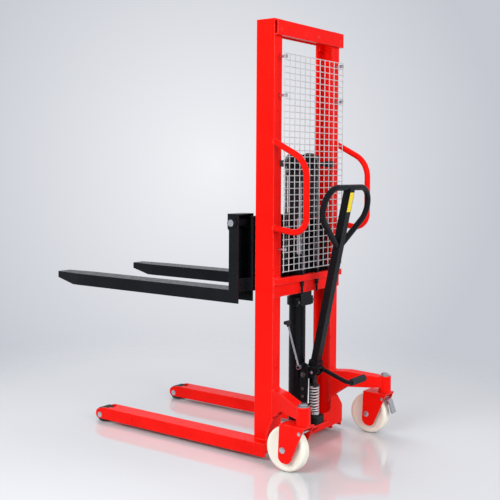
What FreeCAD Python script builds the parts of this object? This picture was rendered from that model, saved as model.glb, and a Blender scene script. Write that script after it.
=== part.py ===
import FreeCAD, Part
import math
import os

V = FreeCAD.Vector

# Lengths are in millimetres. While building, Y is measured forward from the mast's rear plane,
# X from the centre plane and Z from the floor.

# Mast
mast_height = 2000.0
mast_width = 562.0
upright_depth = 100.0
upright_flange = 60.0
upright_wall = 8.0
toe_run = 37.0
toe_rise = 102.0
crossbar_overhang = 5.0
crossbar_depth = 22.0
crossbar_height = 68.0
crossbar_drop = 7.0
crossbar_wall = 4.0
crossbar_screw_inset = 23.0
crossbar_screw_x = 57.0
tie_plate = 8.0
tie_height = 55.0
tie_drop = 8.0
tie_ear_drop = 25.0
tie_ear_width = 38.0
tie_side_gap = 3.0

# Base and straddle legs
leg_spread = 670.0
leg_width = 90.0
leg_height = 60.0
leg_wall = 6.0
leg_floor_gap = 18.0
leg_plate_length = 1006.0
leg_notch_width = 34.0
leg_notch_depth = 14.0
leg_nose = 30.0
load_roller_radius = 37.0
load_roller_lead = 50.0
load_roller_axle_radius = 10.0
base_plate = 8.0
base_lip = 6.0
base_bottom = 38.0
base_height = 75.0
base_side_inset = 4.0
ear_rise = 72.0
ear_tip_rise = 14.0
shelf_reach = 90.0
shelf_half = 64.0
gusset_gap = 40.0

# Rear beam, chains and pulleys
beam_top = 824.0
beam_height = 86.0
beam_plate = 8.0
beam_overhang = 4.0
ledge_edge = 9.0
ledge_height = 28.0
chain_x = 64.0
chain_width = 12.0
chain_thick = 9.4
anchor_radius = 5.0
anchor_tail = 88.0
anchor_head = 20.0
anchor_nut_radius = 9.0
anchor_nut_height = 11.0
chain_back = 17.0
pulley_z = 1347.0
pulley_pitch = 48.0
pulley_rim = 53.0
pulley_width = 24.0
pulley_pin_radius = 10.0

# Lift cylinder and crosshead
cylinder_y = 52.0
cylinder_radius = 40.0
cylinder_top = 915.0
cylinder_floor = 14.0
gland_height = 34.0
gland_radius = 44.0
rod_radius = 25.0
rod_foot_z = 420.0
clamp_z = 690.0
clamp_height = 39.0
clamp_wall = 10.0
clamp_ear = 22.0
clamp_hanger_half = 45.0
clamp_hanger_drop = 9.0
head_plate = 12.0
head_y = 14.0
head_half = 125.0
head_arm_half = 195.0
head_arm_height = 22.0
head_top = 1390.0
head_foot = 1090.0
head_slot_half = 55.0
head_bridge = 28.0
head_hub_top = 1377.0
head_hub_wall = 7.0
head_bearing_width = 20.0
shoe_lip = 12.0
shoe_wall = 7.7
shoe_height = 30.0
shoe_z = 1347.0

# Carriage and forks
carriage_y = 112.0
carriage_plate = 10.0
carriage_half = 215.0
bar_half = 285.0
bar_bottom = 760.0
bar_height = 56.0
bar_depth = 35.7
bracket_plate = 12.0
bracket_rear = 30.0
bracket_top = 1074.0
guide_roller_radius = 41.0
guide_roller_width = 30.0
guide_pin_radius = 12.0
window_gap = 48.0
window_rim = 22.0
window_corner = 14.0
lower_roller_z = 800.0
upper_roller_z = 1030.0
lug_bottom = 830.0
lug_height = 30.0
lug_width = 28.0
lug_edge = 9.0
cheek_inner = 93.0
cheek_plate = 12.0
cheek_front = 206.0
cheek_top = 1105.0
cheek_throat = 60.0
cheek_nose = 40.0
shaft_y = 182.0
shaft_z = 1073.0
shaft_radius = 16.0
shaft_end = 366.0
collar_width = 8.0
collar_radius = 25.0
fork_spread = 698.0
fork_width = 118.0
fork_length = 1232.0
fork_height = 60.0
fork_top = 764.0
fork_wall = 6.0
fork_tip_height = 33.0
fork_tip_width = 80.0
fork_tip_bevel = 130.0
fork_tip_taper = 170.0
fork_tip_solid = 26.0
shank_depth = 54.0
shank_top = 1115.0
eye_depth = 62.0
eye_height = 69.0
heel_plate_top = 818.0
fork_bush_wall = 5.0

# Mesh guard
mesh_half = 255.0
mesh_bottom_gap = 31.0
mesh_top_gap = 81.0
mesh_wire = 4.0
mesh_gap_y = 33.0
mesh_columns = 13
mesh_rows = 35
standoff_inset = 10.0
standoff_radius = 5.0
standoff_flange = 9.0
standoff_stud = 3.0
standoff_rows = (3.5, 27.5, 33.5)

# Grab bars
bar_tube = 28.0
grab_x = 273.0
grab_reach = 172.0
grab_top_z = 1445.0
grab_upper_corner_z = 1357.0
grab_lower_corner_z = 1030.0
grab_foot_z = 1053.0
grab_upper_bend = 120.0
grab_lower_bend = 66.0

# Casters
caster_x = 371.0
caster_y = -228.0
sleeve_radius = 31.0
sleeve_bottom = 215.0
sleeve_height = 80.0
arm_top_z = 316.0
arm_root_z = 185.0
arm_arch_z = 238.0
arm_arch_run = 70.0
arm_wall = 7.0
arm_end_half = 26.0
king_radius = 12.0
king_washer_radius = 26.0
king_nut_radius = 18.0
king_nut_height = 8.0
wheel_radius = 100.0
wheel_width = 50.0
wheel_trail = 79.0
wheel_hub_radius = 24.0
wheel_axle_radius = 8.0
yoke_top = 213.0
yoke_plate = 8.0
yoke_cheek = 5.0
yoke_gap = 38.0
yoke_front = 97.0
yoke_rear = 29.0
yoke_foot_z = 40.0
cross_bolt_radius = 5.0
cross_bolt_back = 6.0
cross_bolt_z = 186.0
bolt_head_radius = 14.0
bolt_head_height = 6.0
brake_width = 40.0
brake_plate = 7.0
brake_run = 50.0
brake_drop = 68.0
brake_hub_radius = 10.0

# Pump, rocker and tiller
pump_half = 42.0
pump_rear = 85.0
pump_front = 4.0
pump_height = 37.0
plunger_y = -50.0
plunger_radius = 9.0
plunger_foot = 39.0
collar_height = 18.0
plunger_collar_radius = 24.0
spring_height = 122.0
spring_outer = 46.0
spring_wire = 6.0
spring_turns = 9.5
seat_radius = 22.0
seat_height = 8.0
plunger_nut_radius = 12.0
plunger_nut_height = 13.0
pivot_y = -14.0
pivot_z = 345.0
pivot_radius = 10.0
bracket_inner = 36.0
bracket_wall = 8.0
bracket_width = 36.0
bracket_rise = 402.0
bracket_corner = 14.0
bracket_ear = 6.0
bracket_ear_height = 50.0
bracket_ear_corner = 10.0
bracket_tie = 6.0
bracket_tie_height = 40.0
bracket_bolt_rises = (22.0, 92.0, 128.0)
rocker_roller_radius = 14.0
rocker_roller_z = 358.0
rocker_roller_pin = 5.0
rocker_inner = 20.0
rocker_wall = 10.0
rocker_hub = 18.0
rocker_top = 384.0
rocker_bridge = 8.0
rocker_rear = 86.0
rocker_front = 2.0
rocker_bottom = 326.0
socket_wall = 6.0
socket_height = 30.0
stem_foot_y = -52.0
stem_lean = 11.9
stem_width = 40.0
stem_depth = 36.0
stem_wall = 4.0
loop_tube = 28.0
loop_top = 873.0
loop_corner_half = 196.0
loop_wide_half = 201.0
loop_wide_drop = 133.0
loop_foot_drop = 285.0
loop_top_bend = 95.0
loop_side_bend = 78.0
pedal_tube = 20.0
pedal_x = 44.0
pedal_start_y = -72.0
pedal_start_z = 362.0
pedal_end_y = -212.0
pedal_end_z = 316.0
pedal_end_x = 186.0
pedal_sleeve_radius = 17.0
pedal_sleeve_length = 118.0
pedal_bend = 24.0
release_x = -82.0
release_y = -13.0
release_z = 387.0
release_rise = 209.0
release_run = 68.0
release_radius = 4.5
release_pin_radius = 6.0
release_hub_radius = 11.0
release_hub_width = 14.0
knob_radius = 9.0
knob_length = 44.0

# Clearances
running_fit = 0.06
face_gap = 0.3
wire_gap = 0.05

mast_half = mast_width / 2
flange_edge = mast_half - upright_flange
web_inner = mast_half - upright_wall
leg_outer = leg_spread / 2
load_roller_y = leg_plate_length + load_roller_lead
leg_inner = leg_outer - leg_width
leg_top = leg_floor_gap + leg_height
base_top = base_bottom + base_height
floor_top = base_bottom + base_plate
chain_rear_y = -chain_back
pulley_y = pulley_pitch - chain_back
chain_front_y = pulley_y + pulley_pitch
ledge_reach = chain_back + ledge_edge
lug_rear = chain_front_y - lug_edge
anchor_top = beam_top + anchor_head
clamp_hanger_top = beam_top - clamp_hanger_drop
mesh_bottom = beam_top + mesh_bottom_gap
mesh_top = mast_height - crossbar_drop - crossbar_height - mesh_top_gap
notch_floor = pulley_z - pulley_rim - 10 * face_gap
notch_half = pulley_width / 2 + face_gap
lug_top = lug_bottom + lug_height
bar_top = bar_bottom + bar_height
fork_rear = carriage_y + bar_depth + face_gap
fork_outer = fork_spread / 2
fork_inner = fork_outer - fork_width
sleeve_top = sleeve_bottom + sleeve_height
wheel_y = caster_y + wheel_trail
cross_bolt_y = caster_y - cross_bolt_back
pump_top = base_top + pump_height
spring_foot = pump_top + collar_height
spring_top = spring_foot + spring_height
loop_wide = loop_top - loop_wide_drop
loop_foot = loop_top - loop_foot_drop
plunger_top = rocker_roller_z - rocker_roller_radius - face_gap
seat_z = spring_top
X_AXIS = V(1, 0, 0)
Y_AXIS = V(0, 1, 0)
Z_AXIS = V(0, 0, 1)


def box(x0, x1, y0, y1, z0, z1):
    return Part.makeBox(x1 - x0, y1 - y0, z1 - z0, V(x0, y0, z0))


def rod(start, end, radius):
    along = V(*end) - V(*start)
    return Part.makeCylinder(radius, along.Length, V(*start), along)


def hexagon(start, end, radius):
    """Six-sided prism whose corners lie at the given radius."""
    along = V(*end) - V(*start)
    turn = FreeCAD.Rotation(Z_AXIS, along)
    corners = []
    for i in range(7):
        angle = math.radians(60 * i)
        flat = V(radius * math.cos(angle), radius * math.sin(angle), 0)
        corners.append(V(*start) + turn.multVec(flat))
    return Part.Face(Part.makePolygon(corners)).extrude(along)


def turned(profile, origin, axis):
    """Revolve a closed outline of (radius, height) points about an axis through the origin."""
    points = [V(r, 0, h) for r, h in profile]
    face = Part.Face(Part.makePolygon(points + points[:1]))
    solid = face.revolve(V(0, 0, 0), Z_AXIS, 360)
    solid.Placement = FreeCAD.Placement(V(*origin), FreeCAD.Rotation(Z_AXIS, axis))
    return solid


def head(origin, axis, radius, height):
    """Low domed screw head that stands on a face."""
    crown = 0.55 * radius
    shoulder = 0.5 * height
    profile = [(0, 0), (radius, 0), (radius, shoulder), (crown, height), (0, height)]
    return turned(profile, origin, axis)


def corner_path(points, closed):
    """Edges through points (vector, radius), with a tangent arc at each corner that has a radius."""
    count = len(points)
    edges = []
    starts = []
    ends = []
    middles = []
    for i in range(count):
        here, radius = points[i]
        inner = closed or 0 < i < count - 1
        if radius == 0 or not inner:
            starts.append(here)
            ends.append(here)
            middles.append(None)
            continue
        back = (points[i - 1][0] - here).normalize()
        ahead = (points[(i + 1) % count][0] - here).normalize()
        half = back.getAngle(ahead) / 2
        reach = radius / math.tan(half)
        bisector = (back + ahead).normalize()
        starts.append(here + back * reach)
        ends.append(here + ahead * reach)
        middles.append(here + bisector * (radius / math.sin(half) - radius))
    last = count if closed else count - 1
    for i in range(count):
        if middles[i] is not None:
            edges.append(Part.Arc(starts[i], middles[i], ends[i]).toShape())
        if i < last:
            edges.append(Part.LineSegment(ends[i], starts[(i + 1) % count]).toShape())
    return Part.Wire(edges)


def prism_x(outline, x0, x1):
    """Plate between two X planes. Outline points are (y, z) or (y, z, corner radius)."""
    points = [(V(x0, p[0], p[1]), p[2] if len(p) > 2 else 0) for p in outline]
    return Part.Face(corner_path(points, True)).extrude(V(x1 - x0, 0, 0))


def prism_y(outline, y0, y1):
    """Plate between two Y planes. Outline points are (x, z) or (x, z, corner radius)."""
    points = [(V(p[0], y0, p[1]), p[2] if len(p) > 2 else 0) for p in outline]
    return Part.Face(corner_path(points, True)).extrude(V(0, y1 - y0, 0))


def prism_z(outline, z0, z1):
    """Plate between two Z planes. Outline points are (x, y) or (x, y, corner radius)."""
    points = [(V(p[0], p[1], z0), p[2] if len(p) > 2 else 0) for p in outline]
    return Part.Face(corner_path(points, True)).extrude(V(0, 0, z1 - z0))


def tube(points, diameter):
    """Round bar along straight runs joined by tangent bends."""
    path = corner_path([(V(*p[0]), p[1]) for p in points], False)
    start = V(*points[0][0])
    along = V(*points[1][0]) - start
    ring = Part.Wire(Part.makeCircle(diameter / 2, start, along))
    return path.makePipeShell([ring], True, False)


def mirrored(shape):
    return shape.mirror(V(0, 0, 0), X_AXIS)


def both(shape):
    """A piece and its mirror image, kept as two solids."""
    return Part.makeCompound([shape, mirrored(shape)])


def fused(shapes):
    return shapes[0].multiFuse(shapes[1:]).removeSplitter()


def upright():
    outer = box(flange_edge, mast_half, 0, upright_depth, leg_top, mast_height)
    hollow = box(flange_edge, web_inner, upright_wall, upright_depth - upright_wall, leg_top, mast_height)
    toe = prism_x([(0, leg_top), (toe_run, leg_top), (0, leg_top + toe_rise)], flange_edge, mast_half)
    return outer.cut(hollow).cut(toe)


def top_crossbar():
    half = mast_half + crossbar_overhang
    top = mast_height - crossbar_drop
    bottom = top - crossbar_height
    outer = box(-half, half, -crossbar_depth, 0, bottom, top)
    hollow = box(-half, half, crossbar_wall - crossbar_depth, 0, bottom + crossbar_wall,
                 top - crossbar_wall)
    solids = [outer.cut(hollow)]
    screw_z = top - 0.63 * crossbar_height
    for x in (mast_half - crossbar_screw_inset, crossbar_screw_x):
        solids.append(both(head((x, crossbar_wall / 2 - crossbar_depth, screw_z), -Y_AXIS, 8,
                                5 + crossbar_wall / 2)))
    return fused(solids)


def top_front_tie():
    half = web_inner - tie_side_gap
    top = mast_height - tie_drop
    bottom = top - tie_height
    ear = half - tie_ear_width
    outline = [(-half, top), (-half, bottom - tie_ear_drop), (-ear, bottom - tie_ear_drop), (-ear, bottom,
                                                                                             8),
               (ear, bottom, 8), (ear, bottom - tie_ear_drop), (half, bottom - tie_ear_drop), (half, top)]
    back = upright_depth - upright_wall
    return prism_y(outline, back - tie_plate, back)


def frame_bolts():
    heads = []
    tie_top = mast_height - tie_drop
    for z in (tie_top - 15, tie_top - tie_height - 13):
        x = web_inner - 11
        heads.append(both(hexagon((x, upright_depth, z), (x, upright_depth + 7, z), 9)))
    ear_x = cylinder_radius + clamp_wall + 0.5 * clamp_ear
    heads.append(both(hexagon((ear_x, clamp_rear(), clamp_z), (ear_x, clamp_rear() - 7, clamp_z), 9)))
    for rise in bracket_bolt_rises:
        x = bracket_inner + bracket_wall
        heads.append(both(head((x, pivot_y + 2, pump_top + rise), X_AXIS, 8, 5)))
    solids = []
    for pair in heads:
        solids.extend(pair.Solids)
    return Part.makeCompound(solids)


def middle_crossbeam():
    half = mast_half + beam_overhang
    plate = box(-half, half, -beam_plate, 0, beam_top - beam_height, beam_top)
    ledge = box(-mast_half, mast_half, -ledge_reach, -beam_plate, beam_top - ledge_height, beam_top)
    beam = fused([plate, ledge])
    for side in (-1, 1):
        x = side * chain_x
        hole = rod((x, chain_rear_y, 0), (x, chain_rear_y, mast_height), anchor_radius + running_fit)
        beam = beam.cut(hole)
    return beam


def chain_anchors():
    y = chain_rear_y
    under = beam_top - ledge_height
    stud = rod((chain_x, y, beam_top - anchor_tail), (chain_x, y, beam_top + 1), anchor_radius)
    half = chain_width / 2
    clevis = box(chain_x - half, chain_x + half, y - half, y + half, beam_top, anchor_top)
    nut = hexagon((chain_x, y, under - anchor_nut_height), (chain_x, y, under), anchor_nut_radius)
    lock_top = under - anchor_nut_height - 2
    lock = hexagon((chain_x, y, lock_top - anchor_nut_height), (chain_x, y, lock_top), anchor_nut_radius)
    return both(fused([stud, clevis, nut, lock]))


def strand(y, z0, z1):
    half = chain_width / 2
    link = box(chain_x - half, chain_x + half, y - chain_thick / 2, y + chain_thick / 2, z0, z1)
    return both(link)


def chain_wraps():
    inner = pulley_pitch - chain_thick / 2
    outer = pulley_pitch + chain_thick / 2
    half = chain_width / 2
    ring = turned([(inner, -half), (outer, -half), (outer, half), (inner, half)], (chain_x, pulley_y,
                                                                                   pulley_z), X_AXIS)
    lower = box(0, 2 * chain_x, pulley_y - 2 * outer, pulley_y + 2 * outer, pulley_z - 2 * outer, pulley_z)
    return both(ring.cut(lower))


def chain_pulleys():
    half = pulley_width / 2
    groove = pulley_pitch - chain_thick / 2 - face_gap
    slot = chain_width / 2 + 2
    bore = pulley_pin_radius + running_fit
    profile = [(bore, -half), (pulley_rim, -half), (pulley_rim, -slot - 1), (groove, -slot),
               (groove, slot), (pulley_rim, slot + 1), (pulley_rim, half), (bore, half)]
    return both(turned(profile, (chain_x, pulley_y, pulley_z), X_AXIS))


def base_crossbeam():
    half = leg_outer - base_side_inset
    ear_top = base_top + ear_rise
    ear_tip = base_top + ear_tip_rise
    inner = mast_half + 2
    outline = [(-half, base_bottom), (half, base_bottom), (half, ear_tip), (inner, ear_top),
               (flange_edge, ear_top), (flange_edge, base_top, 20), (-flange_edge, base_top, 20),
               (-flange_edge, ear_top), (-inner, ear_top), (-half, ear_tip)]
    rear = prism_y(outline, -base_plate, 0)
    floor = box(-leg_inner, leg_inner, 0, upright_depth, base_bottom, floor_top)
    front = box(-leg_inner, leg_inner, upright_depth - base_lip, upright_depth, floor_top, leg_top)
    shelf_bottom = base_top - base_plate
    shelf = box(-shelf_half, shelf_half, -shelf_reach, -base_plate, shelf_bottom, base_top)
    web = [(-base_plate, base_bottom + 6), (-base_plate, shelf_bottom), (10 - shelf_reach, shelf_bottom)]
    gusset = prism_x(web, gusset_gap, gusset_gap + base_plate)
    return fused([rear, floor, front, shelf, gusset, mirrored(gusset)])


def leg():
    nose = load_roller_y + leg_nose
    side = [(0, leg_floor_gap), (nose, leg_floor_gap, 22), (nose, leg_top - 14, 26),
            (leg_plate_length + 26, leg_top), (0, leg_top)]
    wall = prism_x(side, leg_inner, leg_inner + leg_wall)
    other = prism_x(side, leg_outer - leg_wall, leg_outer)
    plate = box(leg_inner, leg_outer, 0, leg_plate_length, leg_top - leg_wall, leg_top)
    centre = (leg_inner + leg_outer) / 2
    notch = box(centre - leg_notch_width / 2, centre + leg_notch_width / 2,
                leg_plate_length - leg_notch_depth,
                leg_plate_length, leg_floor_gap, leg_top)
    hole = rod((leg_inner, load_roller_y, load_roller_radius), (leg_outer, load_roller_y,
                                                                load_roller_radius),
               load_roller_axle_radius + running_fit)
    return fused([wall, other, plate]).cut(notch).cut(hole)


def roller_axles():
    radius = load_roller_axle_radius
    flange = radius + 5
    profile = [(0, -5), (flange - 4, -5), (flange, -2), (flange, 0), (radius, 0), (radius, leg_width),
               (flange, leg_width), (flange, leg_width + 2), (flange - 4, leg_width + 5), (0,
                                                                                           leg_width + 5)]
    return both(turned(profile, (leg_inner, load_roller_y, load_roller_radius), X_AXIS))


def load_roller():
    half = leg_width / 2 - leg_wall - 3 * face_gap
    bore = load_roller_axle_radius + running_fit
    hub = bore + 9
    rim = load_roller_radius
    profile = [(bore, -half), (hub, -half), (hub + 3, 3 - half), (rim - 5, 3 - half), (rim, 7 - half),
               (rim, half - 7), (rim - 5, half - 3), (hub + 3, half - 3), (hub, half), (bore, half)]
    centre = (leg_inner + leg_outer) / 2
    return turned(profile, (centre, load_roller_y, load_roller_radius), X_AXIS)


def arm_body(inset, lift):
    """Arm from the upright to the king-pin sleeve, drawn in by an inset and cut by its sloping top."""
    root = (flange_edge + mast_half) / 2
    along = V(caster_x - root, caster_y, 0).normalize()
    across = V(-along.y, along.x, 0)
    end = V(caster_x, caster_y, 0)
    wide = end + across * (arm_end_half - inset)
    narrow = end - across * (arm_end_half - inset)
    root_y = -inset if inset else 0
    plan = [(flange_edge + inset, root_y), (mast_half - inset, root_y), (wide.x, wide.y), (narrow.x,
                                                                                           narrow.y)]
    side = [(0, arm_root_z), (0, arm_top_z - lift), (-arm_arch_run, arm_top_z - lift),
            (caster_y + sleeve_radius, sleeve_top - lift),
            (2 * caster_y, sleeve_top - lift), (2 * caster_y, arm_arch_z), (-arm_arch_run, arm_arch_z, 24)]
    return prism_z(plan, 0, arm_top_z).common(prism_x(side, 0, 2 * caster_x))


def caster_arm():
    shell = arm_body(0, 0).cut(arm_body(arm_wall, arm_wall))
    sleeve = rod((caster_x, caster_y, sleeve_bottom), (caster_x, caster_y, sleeve_top), sleeve_radius)
    bore = rod((caster_x, caster_y, 0), (caster_x, caster_y, mast_height), king_radius + running_fit)
    return fused([shell, sleeve]).cut(bore)


def grab_bar():
    points = [((grab_x, 0, grab_top_z), 0),
              ((grab_x, -grab_reach, grab_upper_corner_z), grab_upper_bend),
              ((grab_x, -grab_reach, grab_lower_corner_z), grab_lower_bend),
              ((grab_x, 0, grab_foot_z), 0)]
    inside = [((grab_x, bar_tube, grab_top_z + bar_tube * (grab_top_z - grab_upper_corner_z) / grab_reach),
               0),
              points[1], points[2],
              ((grab_x, bar_tube,
                grab_foot_z + bar_tube * (grab_foot_z - grab_lower_corner_z) / grab_reach), 0)]
    front = box(0, 2 * grab_x, 0, 4 * bar_tube, 0, mast_height)
    return tube(inside, bar_tube).cut(front)


def mesh_row_z(row):
    return mesh_bottom + (mesh_top - mesh_bottom) * row / (mesh_rows - 1)


def mesh_guard():
    radius = mesh_wire / 2
    row_y = -mesh_gap_y - radius
    column_y = row_y - mesh_wire - wire_gap
    wires = []
    for i in range(mesh_columns):
        x = mesh_half * (2 * i / (mesh_columns - 1) - 1)
        wires.append(rod((x, column_y, mesh_bottom - radius), (x, column_y, mesh_top + radius), radius))
    for i in range(mesh_rows):
        z = mesh_row_z(i)
        wires.append(rod((-mesh_half - radius, row_y, z), (mesh_half + radius, row_y, z), radius))
    return Part.makeCompound(wires)


def mesh_screws():
    near = mesh_gap_y - wire_gap
    far = mesh_gap_y + 2 * mesh_wire + 2 * wire_gap
    washer = standoff_flange
    dome = washer - 3
    profile = [(0, 0), (standoff_radius, 0), (standoff_radius, near - 3), (washer, near - 3), (washer,
                                                                                               near),
               (standoff_stud, near), (standoff_stud, far), (washer, far), (washer, far + 2), (dome,
                                                                                               far + 2),
               (dome - 3, far + 6), (0, far + 6)]
    solids = []
    for row in standoff_rows:
        screw = turned(profile, (mesh_half - standoff_inset, 0, mesh_row_z(row)), -Y_AXIS)
        solids.extend(both(screw).Solids)
    return Part.makeCompound(solids)


def lift_cylinder():
    bore = rod_radius + running_fit
    shoulder = cylinder_top - gland_height
    profile = [(0, floor_top), (cylinder_radius, floor_top), (cylinder_radius, shoulder), (gland_radius,
                                                                                           shoulder),
               (gland_radius, cylinder_top - 6), (gland_radius - 6, cylinder_top), (bore, cylinder_top),
               (bore, floor_top + cylinder_floor), (0, floor_top + cylinder_floor)]
    return turned(profile, (0, cylinder_y, 0), Z_AXIS)


def clamp_rear():
    return cylinder_y - cylinder_radius - clamp_wall + 6


def cylinder_clamp():
    low = clamp_z - clamp_height / 2
    high = clamp_z + clamp_height / 2
    outer = cylinder_radius + clamp_wall
    ring = rod((0, cylinder_y, low), (0, cylinder_y, high), outer)
    ear_half = outer + clamp_ear
    ears = box(-ear_half, ear_half, clamp_rear(), clamp_rear() + 16, low, high)
    hanger = box(-clamp_hanger_half, clamp_hanger_half, 0, clamp_rear() + 2, low, clamp_hanger_top)
    hole = rod((0, cylinder_y, 0), (0, cylinder_y, mast_height), cylinder_radius + running_fit)
    return fused([ring, ears, hanger]).cut(hole)


def piston_rod():
    return rod((0, cylinder_y, rod_foot_z), (0, cylinder_y, head_hub_top - head_hub_wall), rod_radius)


def lift_crosshead():
    slot_top = notch_floor - head_bridge
    outline = [(-head_half, head_foot), (-head_slot_half, head_foot), (-head_slot_half, slot_top, 20),
               (head_slot_half, slot_top, 20), (head_slot_half, head_foot), (head_half, head_foot),
               (head_half, head_top, 14), (-head_half, head_top, 14)]
    plate = prism_y(outline, head_y, head_y + head_plate)
    hub_half = chain_x - notch_half
    hub = box(-hub_half, hub_half, head_y, cylinder_y + rod_radius + head_hub_wall, notch_floor,
              head_hub_top)
    bearing_x = chain_x + notch_half
    block = 2.2 * pulley_pin_radius
    bearing = box(bearing_x, bearing_x + head_bearing_width, head_y, pulley_y + block, pulley_z - block,
                  pulley_z + block)
    arm_low = shoe_z - head_arm_height / 2
    arms = box(-head_arm_half, head_arm_half, head_y, head_y + head_plate, arm_low,
               arm_low + head_arm_height)
    crosshead = fused([plate, arms, hub, bearing, mirrored(bearing)])
    notch = box(chain_x - notch_half, chain_x + notch_half, 0, cylinder_y * 2, notch_floor, 2 * head_top)
    bore = rod((0, cylinder_y, 0), (0, cylinder_y, head_hub_top - head_hub_wall), rod_radius + running_fit)
    pin_end = bearing_x + head_bearing_width
    pin = rod((pin_inner(), pulley_y, pulley_z), (pin_end, pulley_y, pulley_z),
              pulley_pin_radius + running_fit)
    return crosshead.cut(notch).cut(mirrored(notch)).cut(bore).cut(pin).cut(mirrored(pin))


def pin_inner():
    return rod_radius + head_hub_wall


def pulley_pins():
    outer = chain_x + notch_half + head_bearing_width
    return both(rod((pin_inner(), pulley_y, pulley_z), (outer, pulley_y, pulley_z), pulley_pin_radius))


def crosshead_shoes():
    low = shoe_z - shoe_height / 2
    high = shoe_z + shoe_height / 2
    block = box(head_arm_half, flange_edge + shoe_lip, -shoe_wall - face_gap, head_y + head_plate, low,
                high)
    track = box(flange_edge - face_gap, mast_half, -face_gap, upright_wall + face_gap, low, high)
    return both(block.cut(track))


def carriage_frame():
    back = carriage_y + carriage_plate
    bar = box(-bar_half, bar_half, carriage_y, carriage_y + bar_depth, bar_bottom, bar_top)
    plate = box(-bar_half, bar_half, carriage_y, back, bar_top, cheek_top)
    rib = [(back, bar_top), (carriage_y + bar_depth, bar_top), (shaft_y - 2 * shaft_radius + 8,
                                                                shaft_z - cheek_throat),
           (cheek_front, shaft_z - cheek_nose, 12), (cheek_front, cheek_top, 22), (back, cheek_top)]
    cheek = prism_x(rib, cheek_inner, cheek_inner + cheek_plate)
    bracket_outline = [(bracket_rear, bar_bottom, 20), (carriage_y, bar_bottom), (carriage_y,
                                                                                  bracket_top - 20),
                       (carriage_y - 20, bracket_top, 8), (bracket_rear, bracket_top, 20)]
    bracket = prism_x(bracket_outline, carriage_half - bracket_plate, carriage_half)
    low = lower_roller_z + window_gap
    high = upper_roller_z - window_gap
    rear = bracket_rear + window_rim
    front = carriage_y - window_rim
    window = [(rear, low, window_corner), (front, low, window_corner), (front, high, window_corner),
              (rear, high, window_corner)]
    bracket = bracket.cut(prism_x(window, 0, bar_half))
    lug = box(chain_x - lug_width / 2, chain_x + lug_width / 2, lug_rear, carriage_y, lug_bottom, lug_top)
    frame = fused([bar, plate, cheek, mirrored(cheek), bracket, mirrored(bracket), lug, mirrored(lug)])
    shaft = rod((-bar_half, shaft_y, shaft_z), (bar_half, shaft_y, shaft_z), shaft_radius + running_fit)
    frame = frame.cut(shaft)
    for z in (lower_roller_z, upper_roller_z):
        y = guide_y()
        hole = rod((cheek_inner + cheek_plate, y, z), (bar_half, y, z), guide_pin_radius + running_fit)
        frame = frame.cut(hole).cut(mirrored(hole))
    return frame


def guide_y():
    return upright_depth / 2


def guide_inner():
    return (flange_edge + web_inner) / 2 + 4 - guide_roller_width / 2


def guide_roller_pins():
    start = carriage_half - bracket_plate
    face = guide_inner() - face_gap - start
    end = face + guide_roller_width + 2 * face_gap
    radius = guide_pin_radius
    profile = [(0, 0), (radius, 0), (radius, bracket_plate), (radius + 6, bracket_plate), (radius + 6,
                                                                                           face),
               (radius, face), (radius, end), (radius + 4, end), (radius + 4, end + 3), (0, end + 3)]
    solids = []
    for z in (lower_roller_z, upper_roller_z):
        solids.extend(both(turned(profile, (start, guide_y(), z), X_AXIS)).Solids)
    return Part.makeCompound(solids)


def guide_rollers(z):
    bore = guide_pin_radius + running_fit
    rim = guide_roller_radius
    width = guide_roller_width
    profile = [(bore, 0), (bore + 10, 0), (bore + 11, 2), (rim - 6, 2), (rim - 4, 0), (rim, 3), (rim,
                                                                                                 width - 3),
               (rim - 4, width), (rim - 6, width - 2), (bore + 11, width - 2), (bore + 10, width), (bore,
                                                                                                    width)]
    return both(turned(profile, (guide_inner(), guide_y(), z), X_AXIS))


def fork_shaft():
    bevel = 3
    profile = [(0, -shaft_end), (shaft_radius - bevel, -shaft_end), (shaft_radius, bevel - shaft_end),
               (shaft_radius, shaft_end - bevel), (shaft_radius - bevel, shaft_end), (0, shaft_end)]
    return turned(profile, (0, shaft_y, shaft_z), X_AXIS)


def shaft_collars():
    bore = shaft_radius + running_fit
    near = fork_outer + face_gap
    profile = [(bore, 0), (collar_radius, 0), (collar_radius, collar_width - 2), (collar_radius - 2,
                                                                                  collar_width),
               (bore, collar_width)]
    return both(turned(profile, (near, shaft_y, shaft_z), X_AXIS))


def fork_tip_y():
    return fork_rear + fork_length


def fork_plan(inset, tip):
    centre = (fork_inner + fork_outer) / 2
    narrow = fork_tip_width / 2 - inset
    shoulder = fork_tip_y() - fork_tip_taper
    return [(fork_inner + inset, fork_rear), (fork_outer - inset, fork_rear), (fork_outer - inset,
                                                                               shoulder),
            (centre + narrow, tip), (centre - narrow, tip), (fork_inner + inset, shoulder)]


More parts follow.
